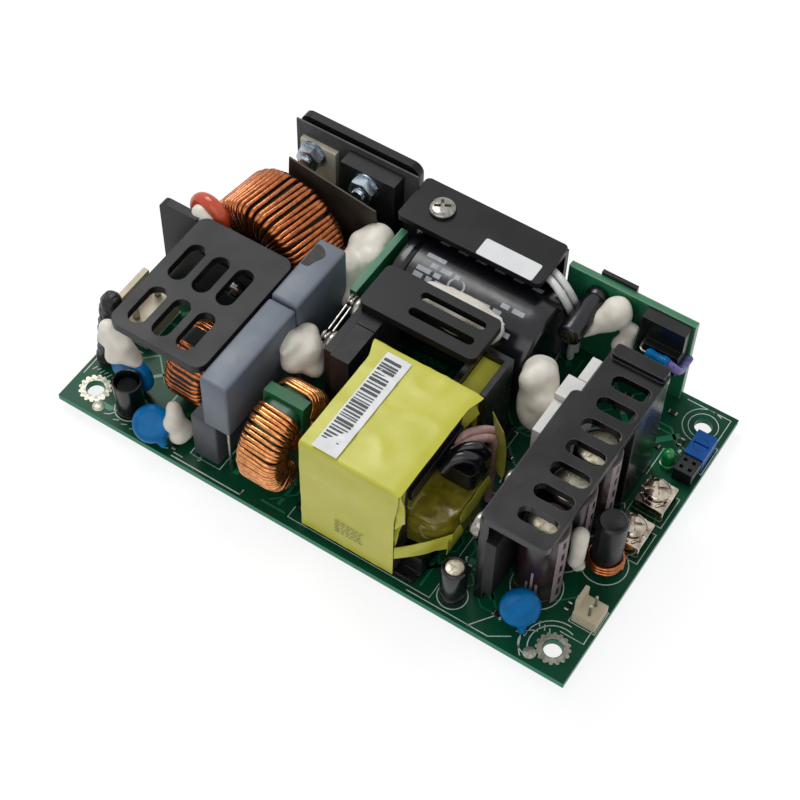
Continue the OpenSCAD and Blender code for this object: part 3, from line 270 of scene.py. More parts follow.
def solder_mask(name, mask, light, bare):
    """Lacquered glass board: copper areas show paler through the green, and the cut edge shows the glass."""
    material = finish(name, mask, light, patch=16, rough=(0.28, 0.42), grain=0.6, depth=0.01,
                      Coat_Weight=0.04, Coat_Roughness=0.2, Specular_IOR_Level=0.12)
    tree = material.node_tree
    colour = tree.nodes["Principled BSDF"].inputs["Base Color"]
    plain = colour.links[0].from_socket
    place = add(tree, "TexCoord").outputs["Object"]
    areas = add(tree, "TexVoronoi", {"Vector": place, "Scale": 1 / (7 * MM), "Randomness": 0.8},
                distance="MANHATTAN")
    drawn = add(tree, "SeparateColor", {0: areas.outputs["Color"]}).outputs[0]
    copper = add(tree, "MapRange", {0: drawn, 1: 0.55, 2: 0.56}).outputs[0]
    paler = add(tree, "Math", {0: copper, 1: 0.55}, operation="MULTIPLY").outputs[0]
    tone = add(tree, "Mix", {0: paler, 6: plain, 7: srgb(light)}, data_type="RGBA").outputs[2]
    up = add(tree, "SeparateXYZ", {0: add(tree, "NewGeometry").outputs["Normal"]}).outputs[2]
    level = add(tree, "Math", {0: up}, operation="ABSOLUTE").outputs[0]
    flat = add(tree, "MapRange", {0: level, 1: 0.4, 2: 0.6}).outputs[0]
    tone = add(tree, "Mix", {0: flat, 6: srgb(bare), 7: tone}, data_type="RGBA").outputs[2]
    tree.links.new(tone, colour)
    return material


board_mask = solder_mask("green_solder_mask", "#06402a", "#0b5236", "#2f8a68")
# The standing boards have their faces sideways, so their cut edge is the part that faces up
riser_mask = finish("green_riser_mask", "#1c6b4a", "#247a56", patch=8, rough=(0.3, 0.45), grain=0.6,
                    depth=0.01, edge="#a9c79a", edge_width=0.5, Coat_Weight=0.3)

# ---------------------------------------------------------------- shapes


class Shape:
    """Vertices and faces gathered from several forms, in millimetres."""

    def __init__(self, form=None, place=None):
        self.verts, self.faces = [], []
        if form:
            self.put(form, place)

    def put(self, form, place=None):
        """Adds a form, moved to its place, and gives the shape back."""
        verts, faces = form
        first = len(self.verts)
        self.verts += [place @ Vector(v) if place else Vector(v) for v in verts]
        self.faces += [tuple(first + i for i in face) for face in faces]
        return self


def make(name, shape, material, stands_for=(), body=SUPPLY, sharp=35):
    """Turns gathered forms into a piece that rides on its body."""
    mesh = bpy.data.meshes.new(name)
    mesh.from_pydata([v * MM for v in shape.verts], [], shape.faces)
    mesh.validate()
    work = bmesh.new()
    work.from_mesh(mesh)
    bmesh.ops.remove_doubles(work, verts=work.verts, dist=1e-7)
    bmesh.ops.recalc_face_normals(work, faces=work.faces)
    work.to_mesh(mesh)
    work.free()
    mesh.shade_smooth()
    mesh.set_sharp_from_angle(angle=math.radians(sharp))
    piece = bpy.data.objects.new(name, mesh)
    bpy.context.scene.collection.objects.link(piece)
    mesh.materials.append(material)
    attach(piece, body)
    if stands_for:
        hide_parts(*([stands_for] if isinstance(stands_for, str) else stands_for))


def at(x, y, z, turn=0, tilt=0, lean=0):
    """A place in millimetres, turned about Z after a tilt about X and a lean about Y, in degrees."""
    turned = Matrix.Rotation(math.radians(turn), 4, "Z") @ Matrix.Rotation(math.radians(tilt), 4, "X")
    return Matrix.Translation((x, y, z)) @ turned @ Matrix.Rotation(math.radians(lean), 4, "Y")


def tube(points, radius, sides=10, closed=False):
    """A round wire along points; radius may be a list, one for each point."""
    points = [Vector(p) for p in points]
    count = len(points)
    verts, faces = [], []
    side = None
    for i, point in enumerate(points):
        before = points[i - 1] if closed or i else point
        after = points[(i + 1) % count] if closed or i < count - 1 else point
        along = (after - before).normalized()
        if side is None:
            side = along.orthogonal().normalized()
        side = (side - along * side.dot(along)).normalized()
        up = along.cross(side)
        size = radius[i] if isinstance(radius, (list, tuple)) else radius
        for k in range(sides):
            a = 2 * math.pi * k / sides
            verts.append(point + (side * math.cos(a) + up * math.sin(a)) * size)
    rings = count if closed else count - 1
    for i in range(rings):
        j = (i + 1) % count
        for k in range(sides):
            m = (k + 1) % sides
            faces.append((i * sides + k, i * sides + m, j * sides + m, j * sides + k))
    if not closed:
        faces.append(tuple(range(sides))[::-1])
        faces.append(tuple(range((count - 1) * sides, count * sides)))
    return verts, faces


def lathe(profile, segments=32):
    """A form turned about Z from (radius, height) points, closed where the radius is 0."""
    verts, faces, rings = [], [], []
    for radius, height in profile:
        if radius < 1e-6:
            rings.append([len(verts)])
            verts.append((0, 0, height))
        else:
            rings.append(list(range(len(verts), len(verts) + segments)))
            for k in range(segments):
                a = 2 * math.pi * k / segments
                verts.append((radius * math.cos(a), radius * math.sin(a), height))
    for low, high in zip(rings, rings[1:]):
        for k in range(segments):
            m = (k + 1) % segments
            if len(low) == 1 and len(high) > 1:
                faces.append((low[0], high[m], high[k]))
            elif len(high) == 1 and len(low) > 1:
                faces.append((low[k], low[m], high[0]))
            elif len(low) > 1:
                faces.append((low[k], low[m], high[m], high[k]))
    return verts, faces


def block(x, y, z, radius=0.0, steps=2):
    """A block between limits, its edges rounded."""
    work = bmesh.new()
    bmesh.ops.create_cube(work, size=1)
    for v in work.verts:
        v.co = Vector([(a + b) / 2 + (b - a) * c for (a, b), c in zip((x, y, z), v.co)])
    if radius:
        bmesh.ops.bevel(work, geom=work.edges[:], offset=radius, segments=steps, profile=0.5,
                        affect="EDGES")
    work.verts.index_update()
    form = [v.co.copy() for v in work.verts], [tuple(v.index for v in f.verts) for f in work.faces]
    work.free()
    return form


def soft_line(points, per=8):
    """A smooth line through points."""
    points = [Vector(p) for p in points]
    padded = [points[0] * 2 - points[1]] + points + [points[-1] * 2 - points[-2]]
    line = []
    for p0, p1, p2, p3 in zip(padded, padded[1:], padded[2:], padded[3:]):
        for k in range(per):
            t = k / per
            line.append(0.5 * ((2 * p1) + (p2 - p0) * t + (2 * p0 - 5 * p1 + 4 * p2 - p3) * t * t +
                               (3 * p1 - p0 - 3 * p2 + p3) * t ** 3))
    return line + [points[-1]]


def about(centre, width):
    """Limits this far apart round a centre."""
    return centre - width / 2, centre + width / 2


def plate(outline, low, high):
    """A flat plate with a polygon outline, between two heights."""
    count = len(outline)
    verts = [(x, y, low) for x, y in outline] + [(x, y, high) for x, y in outline]
    faces = [tuple(range(count))[::-1], tuple(range(count, 2 * count))]
    faces += [(k, (k + 1) % count, count + (k + 1) % count, count + k) for k in range(count)]
    return verts, faces


def arc(x, y, radius, start, end, steps=16):
    """Points on an arc about a centre, between two angles in degrees."""
    angles = [math.radians(start + (end - start) * k / steps) for k in range(steps + 1)]
    return [(x + radius * math.cos(a), y + radius * math.sin(a)) for a in angles]


def ribbon(path, width, height, thick=0.03, closed=False):
    """A flat printed line along points on a level face."""
    path = [Vector((x, y)) for x, y in path]
    count = len(path)
    left, right = [], []
    for i, p in enumerate(path):
        before = path[i - 1] if closed or i else p
        after = path[(i + 1) % count] if closed or i < count - 1 else p
        along = (after - before).normalized()
        off = Vector((-along.y, along.x)) * width / 2
        left.append(p + off)
        right.append(p - off)
    verts = [(p.x, p.y, height + thick) for p in left] + [(p.x, p.y, height + thick) for p in right]
    faces = []
    for i in range(count if closed else count - 1):
        j = (i + 1) % count
        faces.append((i, j, count + j, count + i))
    return verts, faces


def cast(name, node, material, voxel, soften, lump=0.0, size=3.0, seed=0.0, daubs=()):
    """A soft or dipped piece made from its CAD solid: closed afresh, smoothed, and given low lumps.

    voxel, lump (height) and size (distance between lumps) are millimetres; soften is a number of passes.
    """
    mesh = nodes[node].data.copy()
    if daubs:
        work = bmesh.new()
        work.from_mesh(mesh)
        for x, y, z, radius in daubs:
            bmesh.ops.create_icosphere(work, subdivisions=2, radius=radius * MM,
                                       matrix=Matrix.Translation(Vector((x, y, z)) * MM))
        work.to_mesh(mesh)
        work.free()
    piece = bpy.data.objects.new(name, mesh)
    bpy.context.scene.collection.objects.link(piece)
    remesh = piece.modifiers.new("close", "REMESH")
    remesh.mode, remesh.voxel_size = "VOXEL", voxel * MM
    smooth = piece.modifiers.new("soften", "SMOOTH")
    smooth.factor, smooth.iterations = 0.5, soften
    bpy.context.view_layer.update()
    solid = bpy.data.meshes.new_from_object(piece.evaluated_get(bpy.context.evaluated_depsgraph_get()))
    piece.modifiers.clear()
    piece.data = solid
    if lump:
        normals = [v.normal.copy() for v in solid.vertices]
        for v, normal in zip(solid.vertices, normals):
            spot = v.co / (size * MM) + Vector((seed, seed, seed))
            v.co += normal * lump * MM * (noise.noise(spot) + 0.4 * noise.noise(spot * 2.7) - 0.35)
    solid.materials.clear()
    solid.materials.append(material)
    solid.shade_smooth()
    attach(piece, SUPPLY)
    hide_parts(node)


def wear(node, material):
    """Gives a CAD node its material."""
    mesh = nodes[node].data
    mesh.materials.clear()
    mesh.materials.append(material)


# ---------------------------------------------------------------- wound chokes

def turn_path(outer, inner, half, corner, angle, slant, steps=4):
    """One turn round a ring's section, at an angle about the ring's axis."""
    path = []
    corners = [(outer - corner, half - corner, 0), (inner + corner, half - corner, 90),
               (inner + corner, corner - half, 180), (outer - corner, corner - half, 270)]
    for r0, z0, start in corners:
        for k in range(steps + 1):
            a = math.radians(start + 90 * k / steps)
            r, z = r0 + corner * math.cos(a), z0 + corner * math.sin(a)
            turned = angle + slant * z / half
            path.append((r * math.cos(turned), r * math.sin(turned), z))
    return path


LARGE_RING_THICK = 16  # thinner than the winding's box, because the large choke stands turned
RING_CORNER = 2.2  # rounding of a turn at the ring's edges


def wound_ring(name, node, wire, bore, turns, start, sweep, facing, material, halves=1, layers=1):
    """Round wire turns on a ring, in the space of its CAD winding: some lie touching, some stand apart.

    wire and bore are diameters, and sweep is the angle that each half of the winding covers.
    """
    low, high = limits(node)
    ring_thick = high.x - low.x if halves == 2 else LARGE_RING_THICK
    place = Matrix.Translation((low + high) / 2) @ facing
    outer, half = (high - low).z / 2 - wire / 2, ring_thick / 2 - wire / 2
    corner = RING_CORNER - wire / 4
    pitch = sweep / turns
    closest = min(pitch, 0.97 * math.degrees(wire / outer))
    shape = Shape()
    for side in range(halves):
        gaps = [random.random() ** 3 for _ in range(turns)]
        slack = (sweep - closest * turns) / sum(gaps)
        angle = start + side * 180
        for i, gap in enumerate(gaps):
            angle += closest + gap * slack
            inner = bore / 2 + wire / 2 + (wire * 0.9 if layers > 1 and i % 2 else 0)
            lift = random.uniform(-0.16, 0.0) * wire
            slant = math.radians(pitch * random.uniform(0.1, 0.5))
            middle = math.radians(angle - closest / 2)
            path = turn_path(outer + lift, inner, half + lift, corner, middle, slant)
            shape.put(tube(path, wire / 2 * 0.98, 8, closed=True), place)
    make(name, shape, material, node, sharp=80)


lying_along_x = at(0, 0, 0, lean=-90)
facing_front = at(0, 0, 0, -8, 90)
wound_ring("pfc_choke_turns", "pfc_choke_winding", wire=1.2, bore=12, turns=63, start=0, sweep=360,
           facing=facing_front, material=enamel, layers=2)
wound_ring("mode_choke_turns", "mode_choke_winding", wire=0.95, bore=9.6, turns=27, start=25, sweep=146,
           facing=lying_along_x, material=pale_enamel, halves=2)
wound_ring("line_choke_turns", "line_choke_winding", wire=1.25, bore=7, turns=17, start=14, sweep=152,
           facing=lying_along_x, material=enamel, halves=2)

# ---------------------------------------------------------------- soft and dipped pieces

# Round daubs give the beads their smeared outline: x, y, z and radius, grouped by where they lie
daubs = (
    # between the raised film capacitor and the common mode choke
    (-18.4, -12.6, 25.2, 3.6), (-16.8, -14.4, 22.4, 3.3), (-17.4, -8.8, 24.6, 3), (-13.4, -12.4, 20.4, 2.8),
    (-18.2, -16, 26, 1.5),
    # round the riser board, towards the large choke and the rear shield
    (-22.2, 11.6, 22.6, 4.1), (-18.8, 17.4, 22.8, 3.9), (-22.6, 20.4, 21.6, 3.8), (-21.4, 25, 19.6, 3.4),
    (-19, 9.8, 17, 3.2),
    # between the large capacitor, the small transformer and the white spacers
    (27, 12, 20.8, 4.3), (30, 7.2, 19.6, 4.1), (27.4, 8, 23.4, 3.6), (29.6, 5.6, 13.6, 2.8),
    (26.8, 13.4, 15.6, 2.6),
    # between the lying capacitor and the parts of the daughter board
    (31.6, 30.4, 22.6, 2.7), (30.2, 28.7, 20.8, 1.9), (29, 27.3, 19.3, 1.2), (36.6, 30.8, 16.6, 2.8),
    # on the left heatsink, over the fuse and by the blue disc
    (-55.4, -29.6, 18.8, 2.2), (-52.4, -30.4, 15.6, 2.4), (-35.4, -33.6, 8, 2.3), (-33.6, -31.6, 4.6, 2.5),
    # large capacitor, by the centre bracket
    (9.8, 14.4, 24.6, 3.6), (2, 14.4, 24.2, 3.4),
    # orange disc and the back of the left heatsink
    (-52.4, 2.5, 29.8, 3.0), (-50.2, 2.1, 29, 2.4), (-48.4, 2.1, 27.8, 2.2), (-54, 2.8, 27.2, 2.4),
    (-51.6, 2.7, 26.4, 2.9),
    # between the right heatsink and an output capacitor
    (53.6, -15.6, 6.4, 2))
cast("silicone_beads", "adhesive", silicone, voxel=0.45, soften=34, lump=0.45, size=6.5,
     seed=2.0, daubs=daubs)
cast("blue_disc_dip", "disc_capacitors", blue_dip, voxel=0.28, soften=8)
cast("orange_disc_dip", "orange_disc", orange_dip, voxel=0.35, soften=4)
cast("varistor_dip", "varistor", blue_dip, voxel=0.3, soften=6)
cast("fuse_sleeve", "sleeved_fuse", rubber_sleeve, voxel=0.3, soften=3, lump=0.35,
     size=1.6, seed=5.0)
# The coil's tape is drawn in its darker copy, which is partly painted shade
cast("wound_tape_bulge", "transformer_winding", shaded_wound_tape, voxel=0.4, soften=8,
     lump=0.32, size=4.2, seed=3.0)

# ---------------------------------------------------------------- transformer tape
core_low, core_high = limits("transformer_core")
tape_low, tape_high = limits("transformer_tape")


def crease(point, seed, height=0.14, size=9):
    """Height of the creases in a wound tape at a point, never below its seat."""
    spot = Vector(point) / size + Vector((seed, seed, seed))
    ridge = max(1 - abs(noise.noise(spot)) * 6, 0)
    return height * ridge + height * 0.4 * (1 + noise.noise(spot * 1.7))


def sheet(rows, thick):
    """A thin sheet through rows of points, closed on its underside."""
    count, wide = len(rows), len(rows[0])
    verts = [Vector(p) for row in rows for p in row]
    work = bmesh.new()
    grid = [work.verts.new(v) for v in verts]
    for i in range(count - 1):
        for j in range(wide - 1):
            work.faces.new([grid[i * wide + j], grid[i * wide + j + 1], grid[(i + 1) * wide + j + 1],
                            grid[(i + 1) * wide + j]])
    work.normal_update()
    bmesh.ops.solidify(work, geom=work.faces[:], thickness=thick)
    work.verts.index_update()
    form = [v.co.copy() for v in work.verts], [tuple(v.index for v in f.verts) for f in work.faces]
    work.free()
    return form


def wrap_path(step):
    """Points in Y and Z up the front, over the top and down the rear of the core, with their outward way."""
    y0, y1, z0, z1 = core_low.y - 0.2, core_high.y + 0.2, tape_low.z, core_high.z + 0.22
    bend = 0.7
    rows_up = int((z1 - bend - z0) / step) + 1
    level = y1 - y0 - 2 * bend

    def corner(y, angles):
        """Points round one upper corner of the core."""
        return [(y + bend * math.cos(math.radians(a)), z1 - bend + bend * math.sin(math.radians(a)), a)
                for a in angles]

    path = [(y0, z0 + k * step, 180) for k in range(rows_up)]
    path += corner(y0 + bend, (170, 150, 130, 110))
    path += [(y0 + bend + level * k / 30, z1, 90) for k in range(31)]
    path += corner(y1 - bend, (70, 50, 30, 10))
    path += [(y1, z1 - bend - k * step, 0) for k in range(rows_up)]
    return path


def smooth_step(t):
    """An even rise from 0 to 1."""
    t = min(max(t, 0.0), 1.0)
    return t * t * (3 - 2 * t)


def tape_sheet():
    """The wrap round the core: it reaches over both ends on top and narrows on the way down."""
    rows = []
    x0, x1 = core_low.x - 0.15, core_high.x + 0.15
    for y, z, way in wrap_path(1.0):
        top = 40 < way < 140
        rear = smooth_step((y - (core_high.y - 5)) / 5) if top else 0.0
        reach = 1.15 + 1.2 * rear if top else (0.25 if way <= 40 else 0.9 * smooth_step((z - 22) / 10))
        left = 1.4 * rear if top else 0.0
        out = Vector((0, math.cos(math.radians(way)), math.sin(math.radians(way))))
        row = []
        for k in range(24):
            t = k / 23
            point = Vector((x0 - left + (x1 + reach - x0 + left) * t, y, z))
            sag = 0.3 * smooth_step((t - 0.93) / 0.07) if top else 0.0
            row.append(point + out * (min(crease(point, 4.0), 0.2) - sag))
        rows.append(row)
    return sheet(rows, 0.12)


def flap(corners, across, along, bulge, seed, thick=0.12):
    """A loose piece of tape between four corners, bulging and creased."""
    a, b, c, d = [Vector(p) for p in corners]
    normal = (b - a).cross(d - a).normalized()
    rows = []
    for i in range(along + 1):
        s = i / along
        row = []
        for k in range(across + 1):
            t = k / across
            point = (a * (1 - t) + b * t) * (1 - s) + (d * (1 - t) + c * t) * s
            curl = bulge * math.sin(math.pi * s) * (0.4 + 0.6 * t)
            row.append(point + normal * (curl + crease(point, seed, 0.3)))
        rows.append(row)
    return sheet(rows, thick)


cover = Shape(tape_sheet())
right, front, rear, top_z = core_high.x, core_low.y, core_high.y, tape_high.z
# Folds of the wrap at the core's right end: corners, faces down, bulge and seed of the creases
folds = (
    ([(right + 0.3, front + 0.1, top_z - 0.6), (right + 1.2, front + 0.2, top_z - 0.6),
      (right + 2.6, front - 0.1, top_z - 9), (right + 0.3, front - 0.1, top_z - 13)], 12, 0.5, 2.0),
    ([(right + 0.25, front + 0.4, top_z - 1), (right + 0.25, front + 4.4, top_z - 0.8),
      (right + 0.9, front + 3.0, top_z - 12), (right + 0.3, front + 0.3, top_z - 20)], 14, 0.3, 5.0),
    ([(right + 0.2, rear - 4.6, top_z - 0.8), (right + 0.3, rear - 0.2, top_z - 0.6),
      (right + 1.6, rear + 0.2, top_z - 7), (right + 0.4, rear - 4, top_z - 8.6)], 10, 0.4, 8.0))
for corners, along, bulge, seed in folds:
    cover.put(flap(corners, across=6, along=along, bulge=bulge, seed=seed))
make("transformer_tape_cover", cover, tape, "transformer_tape", sharp=60)

# Label strip along the left of the tape's top, with plain bars of different widths
label_left, label_right, label_z = 2.6, 8.4, top_z + 0.12
corners = [(label_left, front + 0.2, label_z), (label_right, front + 0.2, label_z),
           (label_right, rear - 1.6, label_z), (label_left, rear - 1.6, label_z)]
strip = flap(corners, across=4, along=24, bulge=0.0, seed=40.0, thick=0.06)
make("strip_label", Shape(strip), paper)
bars = Shape()
y = front + 3.1
while y < rear - 3.4:
    width = random.choice((0.26, 0.42, 0.66))
    bars.put(block((label_left + 0.4, label_right - 1.5), (y, y + width), (top_z + 0.3, top_z + 0.36),
                   0.02, 1))
    y += width + random.choice((0.3, 0.42, 0.6))
make("strip_label_bars", bars, ink)

# A small faded print low on the tape's front, as rows of plain dashes
dash_height, row_pitch, lowest_row = 0.22, 0.95, 8.2
print_left, print_right = 8.2, 14.6
dashes = Shape()
for row in range(5):
    x, z = print_left, lowest_row + row * row_pitch
    while x < print_right:
        width = random.uniform(0.5, 1.3)
        dashes.put(block((x, x + width), (front - 0.52, front - 0.46), (z, z + dash_height), 0.02, 1))
        x += width + random.uniform(0.2, 0.4)
make("tape_dashes", dashes, faded_ink)

# Yellow tape wound round the coil, crumpled where it leaves the window: where it starts and ends across the
# coil, as a share of its depth, then its lower and upper height and how far it stands out
coil_low, coil_high = limits("transformer_winding")
depth = coil_high.y - coil_low.y
for name, seed, start, end, z0, z1, out in (("coil_tape_low", 3.0, 0.06, 0.36, 9.4, 15.4, 0.45),
                                            ("coil_tape_high", 9.0, 0.3, 0.92, 14.2, 20.2, 0.5)):
    x, y0, y1 = coil_high.x - 0.4, coil_low.y + depth * start, coil_low.y + depth * end
    corners = [(x, y0, z0), (x + out, y1, z0 + 1.2), (x + out * 0.6, y1 - 1, z1), (x, y0, z1 - 1)]
    wrap = flap(corners, across=16, along=10, bulge=0.35, seed=seed)
    make(name, Shape(wrap), tape)

# End of tape hanging behind the flange, in the darker tape that is painted shade, and a band from the core's
# front edge to the coil
hanging = [(27.2, -8.6, 31.8), (31.4, -11.2, 30.8), (33.2, -13.6, 18.6), (30.4, -11.4, 17.4)]
hanging_end = flap(hanging, across=8, along=16, bulge=0.7, seed=6.0)
make("hanging_tape_end", Shape(hanging_end), shaded_tape)
band = [(22.4, -36.5, 9.4), (22.4, -36.5, 13.6), (31.1, -28.4, 15.6), (31.1, -29.2, 11.4)]
make("tape_band", Shape(flap(band, across=6, along=16, bulge=-0.5, seed=12.0)), tape)

# ---------------------------------------------------------------- moulded boxes with rounded edges
for name, node, material, radius in (("raised_film_case", "film_capacitor_raised", grey_case, 0.7),
                                     ("rear_film_case", "film_capacitor_rear", grey_case, 0.7),
                                     # The low case takes the darker copy of the slate finish, which is
                                     # painted shade
                                     ("low_film_case", "film_capacitor_low", shaded_case, 0.6)):
    a, b = limits(node)
    case = block((a.x, b.x), (a.y, b.y), (a.z, b.z), radius, 3)
    make(name, Shape(case), material, node)

# Dark resin smudge by the left edge of the rear film capacitor's top, kept off the edges themselves
a, b = limits("film_capacitor_rear")
smudge = []
for t in [k * math.pi / 12 for k in range(24)]:
    x = a.x + 1.2 + 2.2 * math.cos(t) * (1 + 0.25 * math.sin(3 * t))
    smudge.append((min(max(x, a.x + 0.5), b.x - 0.5), b.y - 5 + 3.2 * math.sin(t)))
make("resin_smudge", Shape(plate(smudge, b.z, b.z + 0.07)), resin)


# ---------------------------------------------------------------- screws, nuts and terminals

def solids(node):
    """Lowest and highest corner of each loose solid of a CAD node, in millimetres, in order."""
    work = bmesh.new()
    work.from_mesh(nodes[node].data)
    bmesh.ops.remove_doubles(work, verts=work.verts, dist=1e-6)
    work.verts.ensure_lookup_table()
    seen, boxes = set(), []
    for start in work.verts:
        if start.index in seen:
            continue
        seen.add(start.index)
        queue, group = [start], []
        while queue:
            v = queue.pop()
            group.append(v.co / MM)
            for edge in v.link_edges:
                other = edge.other_vert(v)
                if other.index not in seen:
                    seen.add(other.index)
                    queue.append(other)
        low = Vector([min(p[i] for p in group) for i in range(3)])
        high = Vector([max(p[i] for p in group) for i in range(3)])
        if min(high - low) > 0.3:
            boxes.append((low, high))
    work.free()
    return sorted(boxes, key=lambda b: tuple(round(c, 2) for c in b[0]))


def solid_mesh(form):
    """A mesh of one form, its faces turned outwards."""
    mesh = bpy.data.meshes.new("form")
    mesh.from_pydata([tuple(v) for v in form[0]], [], form[1])
    work = bmesh.new()
    work.from_mesh(mesh)
    bmesh.ops.recalc_face_normals(work, faces=work.faces)
    work.to_mesh(mesh)
    work.free()
    return mesh


def carve(form, tool, how="DIFFERENCE"):
    """One form cut by another, or only what both share."""
    pieces = [bpy.data.objects.new("form", solid_mesh(f)) for f in (form, tool)]
    for piece in pieces:
        bpy.context.scene.collection.objects.link(piece)
    cut = pieces[0].modifiers.new("cut", "BOOLEAN")
    cut.object, cut.operation, cut.solver = pieces[1], how, "EXACT"
    bpy.context.view_layer.update()
    mesh = bpy.data.meshes.new_from_object(pieces[0].evaluated_get(bpy.context.evaluated_depsgraph_get()))
    made = [v.co.copy() for v in mesh.vertices], [tuple(p.vertices) for p in mesh.polygons]
    for piece in pieces:
        bpy.data.objects.remove(piece)
    return made


def cross(arm, width, low, high):
    """A plate in the shape of a screwdriver's cross."""
    w = width / 2
    return plate([(w, w), (arm, w), (arm, -w), (w, -w), (w, -arm), (-w, -arm), (-w, -w), (-arm, -w),
                  (-arm, w), (-w, w), (-w, arm), (w, arm)], low, high)


def pan_head(radius, height, slotted=False):
    """A pan head with its cross recess, sitting on z = 0."""
    rim = height * 0.42
    profile = [(0, 0), (radius * 0.96, 0), (radius, rim * 0.4), (radius, rim)]
    profile += [(radius * math.cos(math.radians(a)) ** 0.6, rim + (height - rim) * math.sin(math.radians(a)))
                for a in (20, 38, 55, 72)] + [(0, height)]
    head = carve(lathe(profile, 32), cross(radius * 0.62, radius * 0.26, height * 0.45, height * 2))
    if slotted:
        head = carve(head, block((-radius * 1.1, radius * 1.1), (-radius * 0.12, radius * 0.12),
                                 (height * 0.62, height * 2)))
    return head


facings = {"up": at(0, 0, 0), "front": at(0, 0, 0, tilt=90), "left": at(0, 0, 0, lean=-90)}
heads = Shape()
# The screws in order: the way that each head faces, and its height
for (a, b), (way, height) in zip(solids("machine_screws"), (("front", 2.0), ("up", 1.5), ("left", 1.7),
                                                            ("left", 1.7), ("left", 2.6), ("left", 2.6))):
    mid = (a + b) / 2
    seat, radius = {"up": ((mid.x, mid.y, b.z - height), (b.x - a.x) / 2),
                    "front": ((mid.x, a.y + height, mid.z), (b.x - a.x) / 2),
                    "left": ((a.x + height, mid.y, mid.z), (b.y - a.y) / 2)}[way]
    spin = Matrix.Rotation(random.uniform(0, 1.5), 4, "Z")
    heads.put(pan_head(radius, height), Matrix.Translation(seat) @ facings[way] @ spin)
make("panhead_screws", heads, nickel, "machine_screws")

# Spring clip across the centre bracket: two steel wires with an eye at each end
clip = Shape()
clip_x, wire_apart, eye_apart = -12.5, 0.55, 0.5
for side in (-1, 1):
    x = clip_x + side * wire_apart
    clip.put(tube([(x, 0.4, 29), (x, -8, 27.7)], 0.26, 10))
for y, z in ((1, 29.1), (-8.6, 27.6)):
    for side in (-1, 1):
        x = clip_x + side * eye_apart
        eye = [(x, y + 1.2 * math.cos(t), z + 0.9 * math.sin(t))
               for t in [k * math.pi / 8 for k in range(16)]]
        clip.put(tube(eye, 0.34, 8, closed=True))
make("spring_clip", clip, nickel)

# Nuts with rounded corners on flat washers, each with the thread of its bolt standing out
across_flats, nut_seat, nut_top, thread_pitch = 5.5, 0.4, 2.9, 0.5
corner_radius = across_flats / 1.732
nuts = Shape()
for a, b in solids("rear_nuts"):
    mid, reach = (a + b) / 2, b.y - a.y
    corners = arc(0, 0, corner_radius, 14, 314, 5)
    rounding = lathe([(0, 0.3), (2.7, 0.3), (3.3, 0.75), (3.3, 2.5), (2.65, 2.92), (0, 2.92)])
    place = at(mid.x, b.y, mid.z, tilt=90)
    nuts.put(carve(plate(corners, nut_seat, nut_top), rounding, "INTERSECT"), place)
    nuts.put(lathe([(0, 0), (3.45, 0), (3.45, 0.4), (2.2, 0.5), (0, 0.5)]), place)
    thread = [(0, thread_pitch)]
    for k in range(7):
        thread += [(1.5, 0.6 + k * thread_pitch), (1.3, 0.85 + k * thread_pitch)]
    nuts.put(lathe(thread + [(1.1, reach - 0.03), (0, reach)], 20), place)
make("hex_nuts_on_bolts", nuts, zinc, "rear_nuts")

# Terminals: a bent bridge, a flat washer, a split ring, a toothed washer and a clamp screw with its shank
bridge_top, bridge_wall = 6.2, 0.9
terminals = Shape()
for a, b in solids("output_terminals"):
    mid = (a + b) / 2
    bridge = block((a.x, b.x), (a.y, b.y), (a.z, bridge_top), 0.35, 2)
    opening = block((a.x - 1, b.x + 1), (a.y + bridge_wall, b.y - bridge_wall),
                    (a.z - 1, bridge_top - bridge_wall))
    terminals.put(carve(bridge, opening))
    place = Matrix.Translation((mid.x, mid.y, bridge_top))
    terminals.put(lathe([(0, 0), (3.35, 0), (3.35, 0.5), (0, 0.5)]), place)
    split_ring = [(*point, 0.62) for point in arc(0, 0, 3.05, 20, 324, 19)]
    terminals.put(tube(split_ring, 0.32, 8), place)
    for k in range(12):
        tooth = block((2.2, 3.5), (-0.5, 0.5), (0.5, 0.85), 0.1, 1)
        terminals.put(tooth, at(mid.x, mid.y, bridge_top, k * 30 + 8, 24))
    terminals.put(pan_head(2.75, 1.5, slotted=True), at(mid.x, mid.y, b.z - 1.5, 28))
    terminals.put(lathe([(0, -4.4), (1.45, -4.4), (1.55, -4), (1.55, 0.9), (0, 0.9)], 20), place)
make("screw_terminals", terminals, bright_nickel, "output_terminals")


# ---------------------------------------------------------------- cans

def can_profile(radius, height, foot=False):
    """Half outline of a sleeved can: soft foot, groove over the bung, sleeve rolled over the top edge."""
    groove = [(radius, 1.6), (radius * 0.94, 2.1), (radius, 2.6)] if foot else []
    return [(0, 0), (radius - 0.5, 0), (radius - 0.12, 0.15), (radius, 0.6)] + groove + [
        (radius, height - 0.7), (radius - 0.08, height - 0.35), (radius - 0.4, height - 0.05),
        (radius - 0.6, height), (radius - 0.8, height - 0.12), (radius - 0.85, height - 0.3),
        (0, height - 0.3)]


def can_top(radius, height, arms=3):
    """The bare metal top inside the sleeve, with its vent grooves: three arms or a cross."""
    metal = lathe([(0, height - 0.5), (radius - 0.85, height - 0.5), (radius - 0.87, height - 0.2),
                   (radius - 1.15, height - 0.14), (0, height - 0.14)], 40)
    start, apart = (0.2, 120) if arms == 3 else (-radius * 0.6, 90)
    for k in range(arms):
        verts, faces = block((start, radius * 0.62), (-0.09, 0.09), (height - 0.24, height + 1))
        turned = Matrix.Rotation(math.radians(k * apart + 20), 3, "Z")
        metal = carve(metal, ([turned @ Vector(v) for v in verts], faces))
    return metal


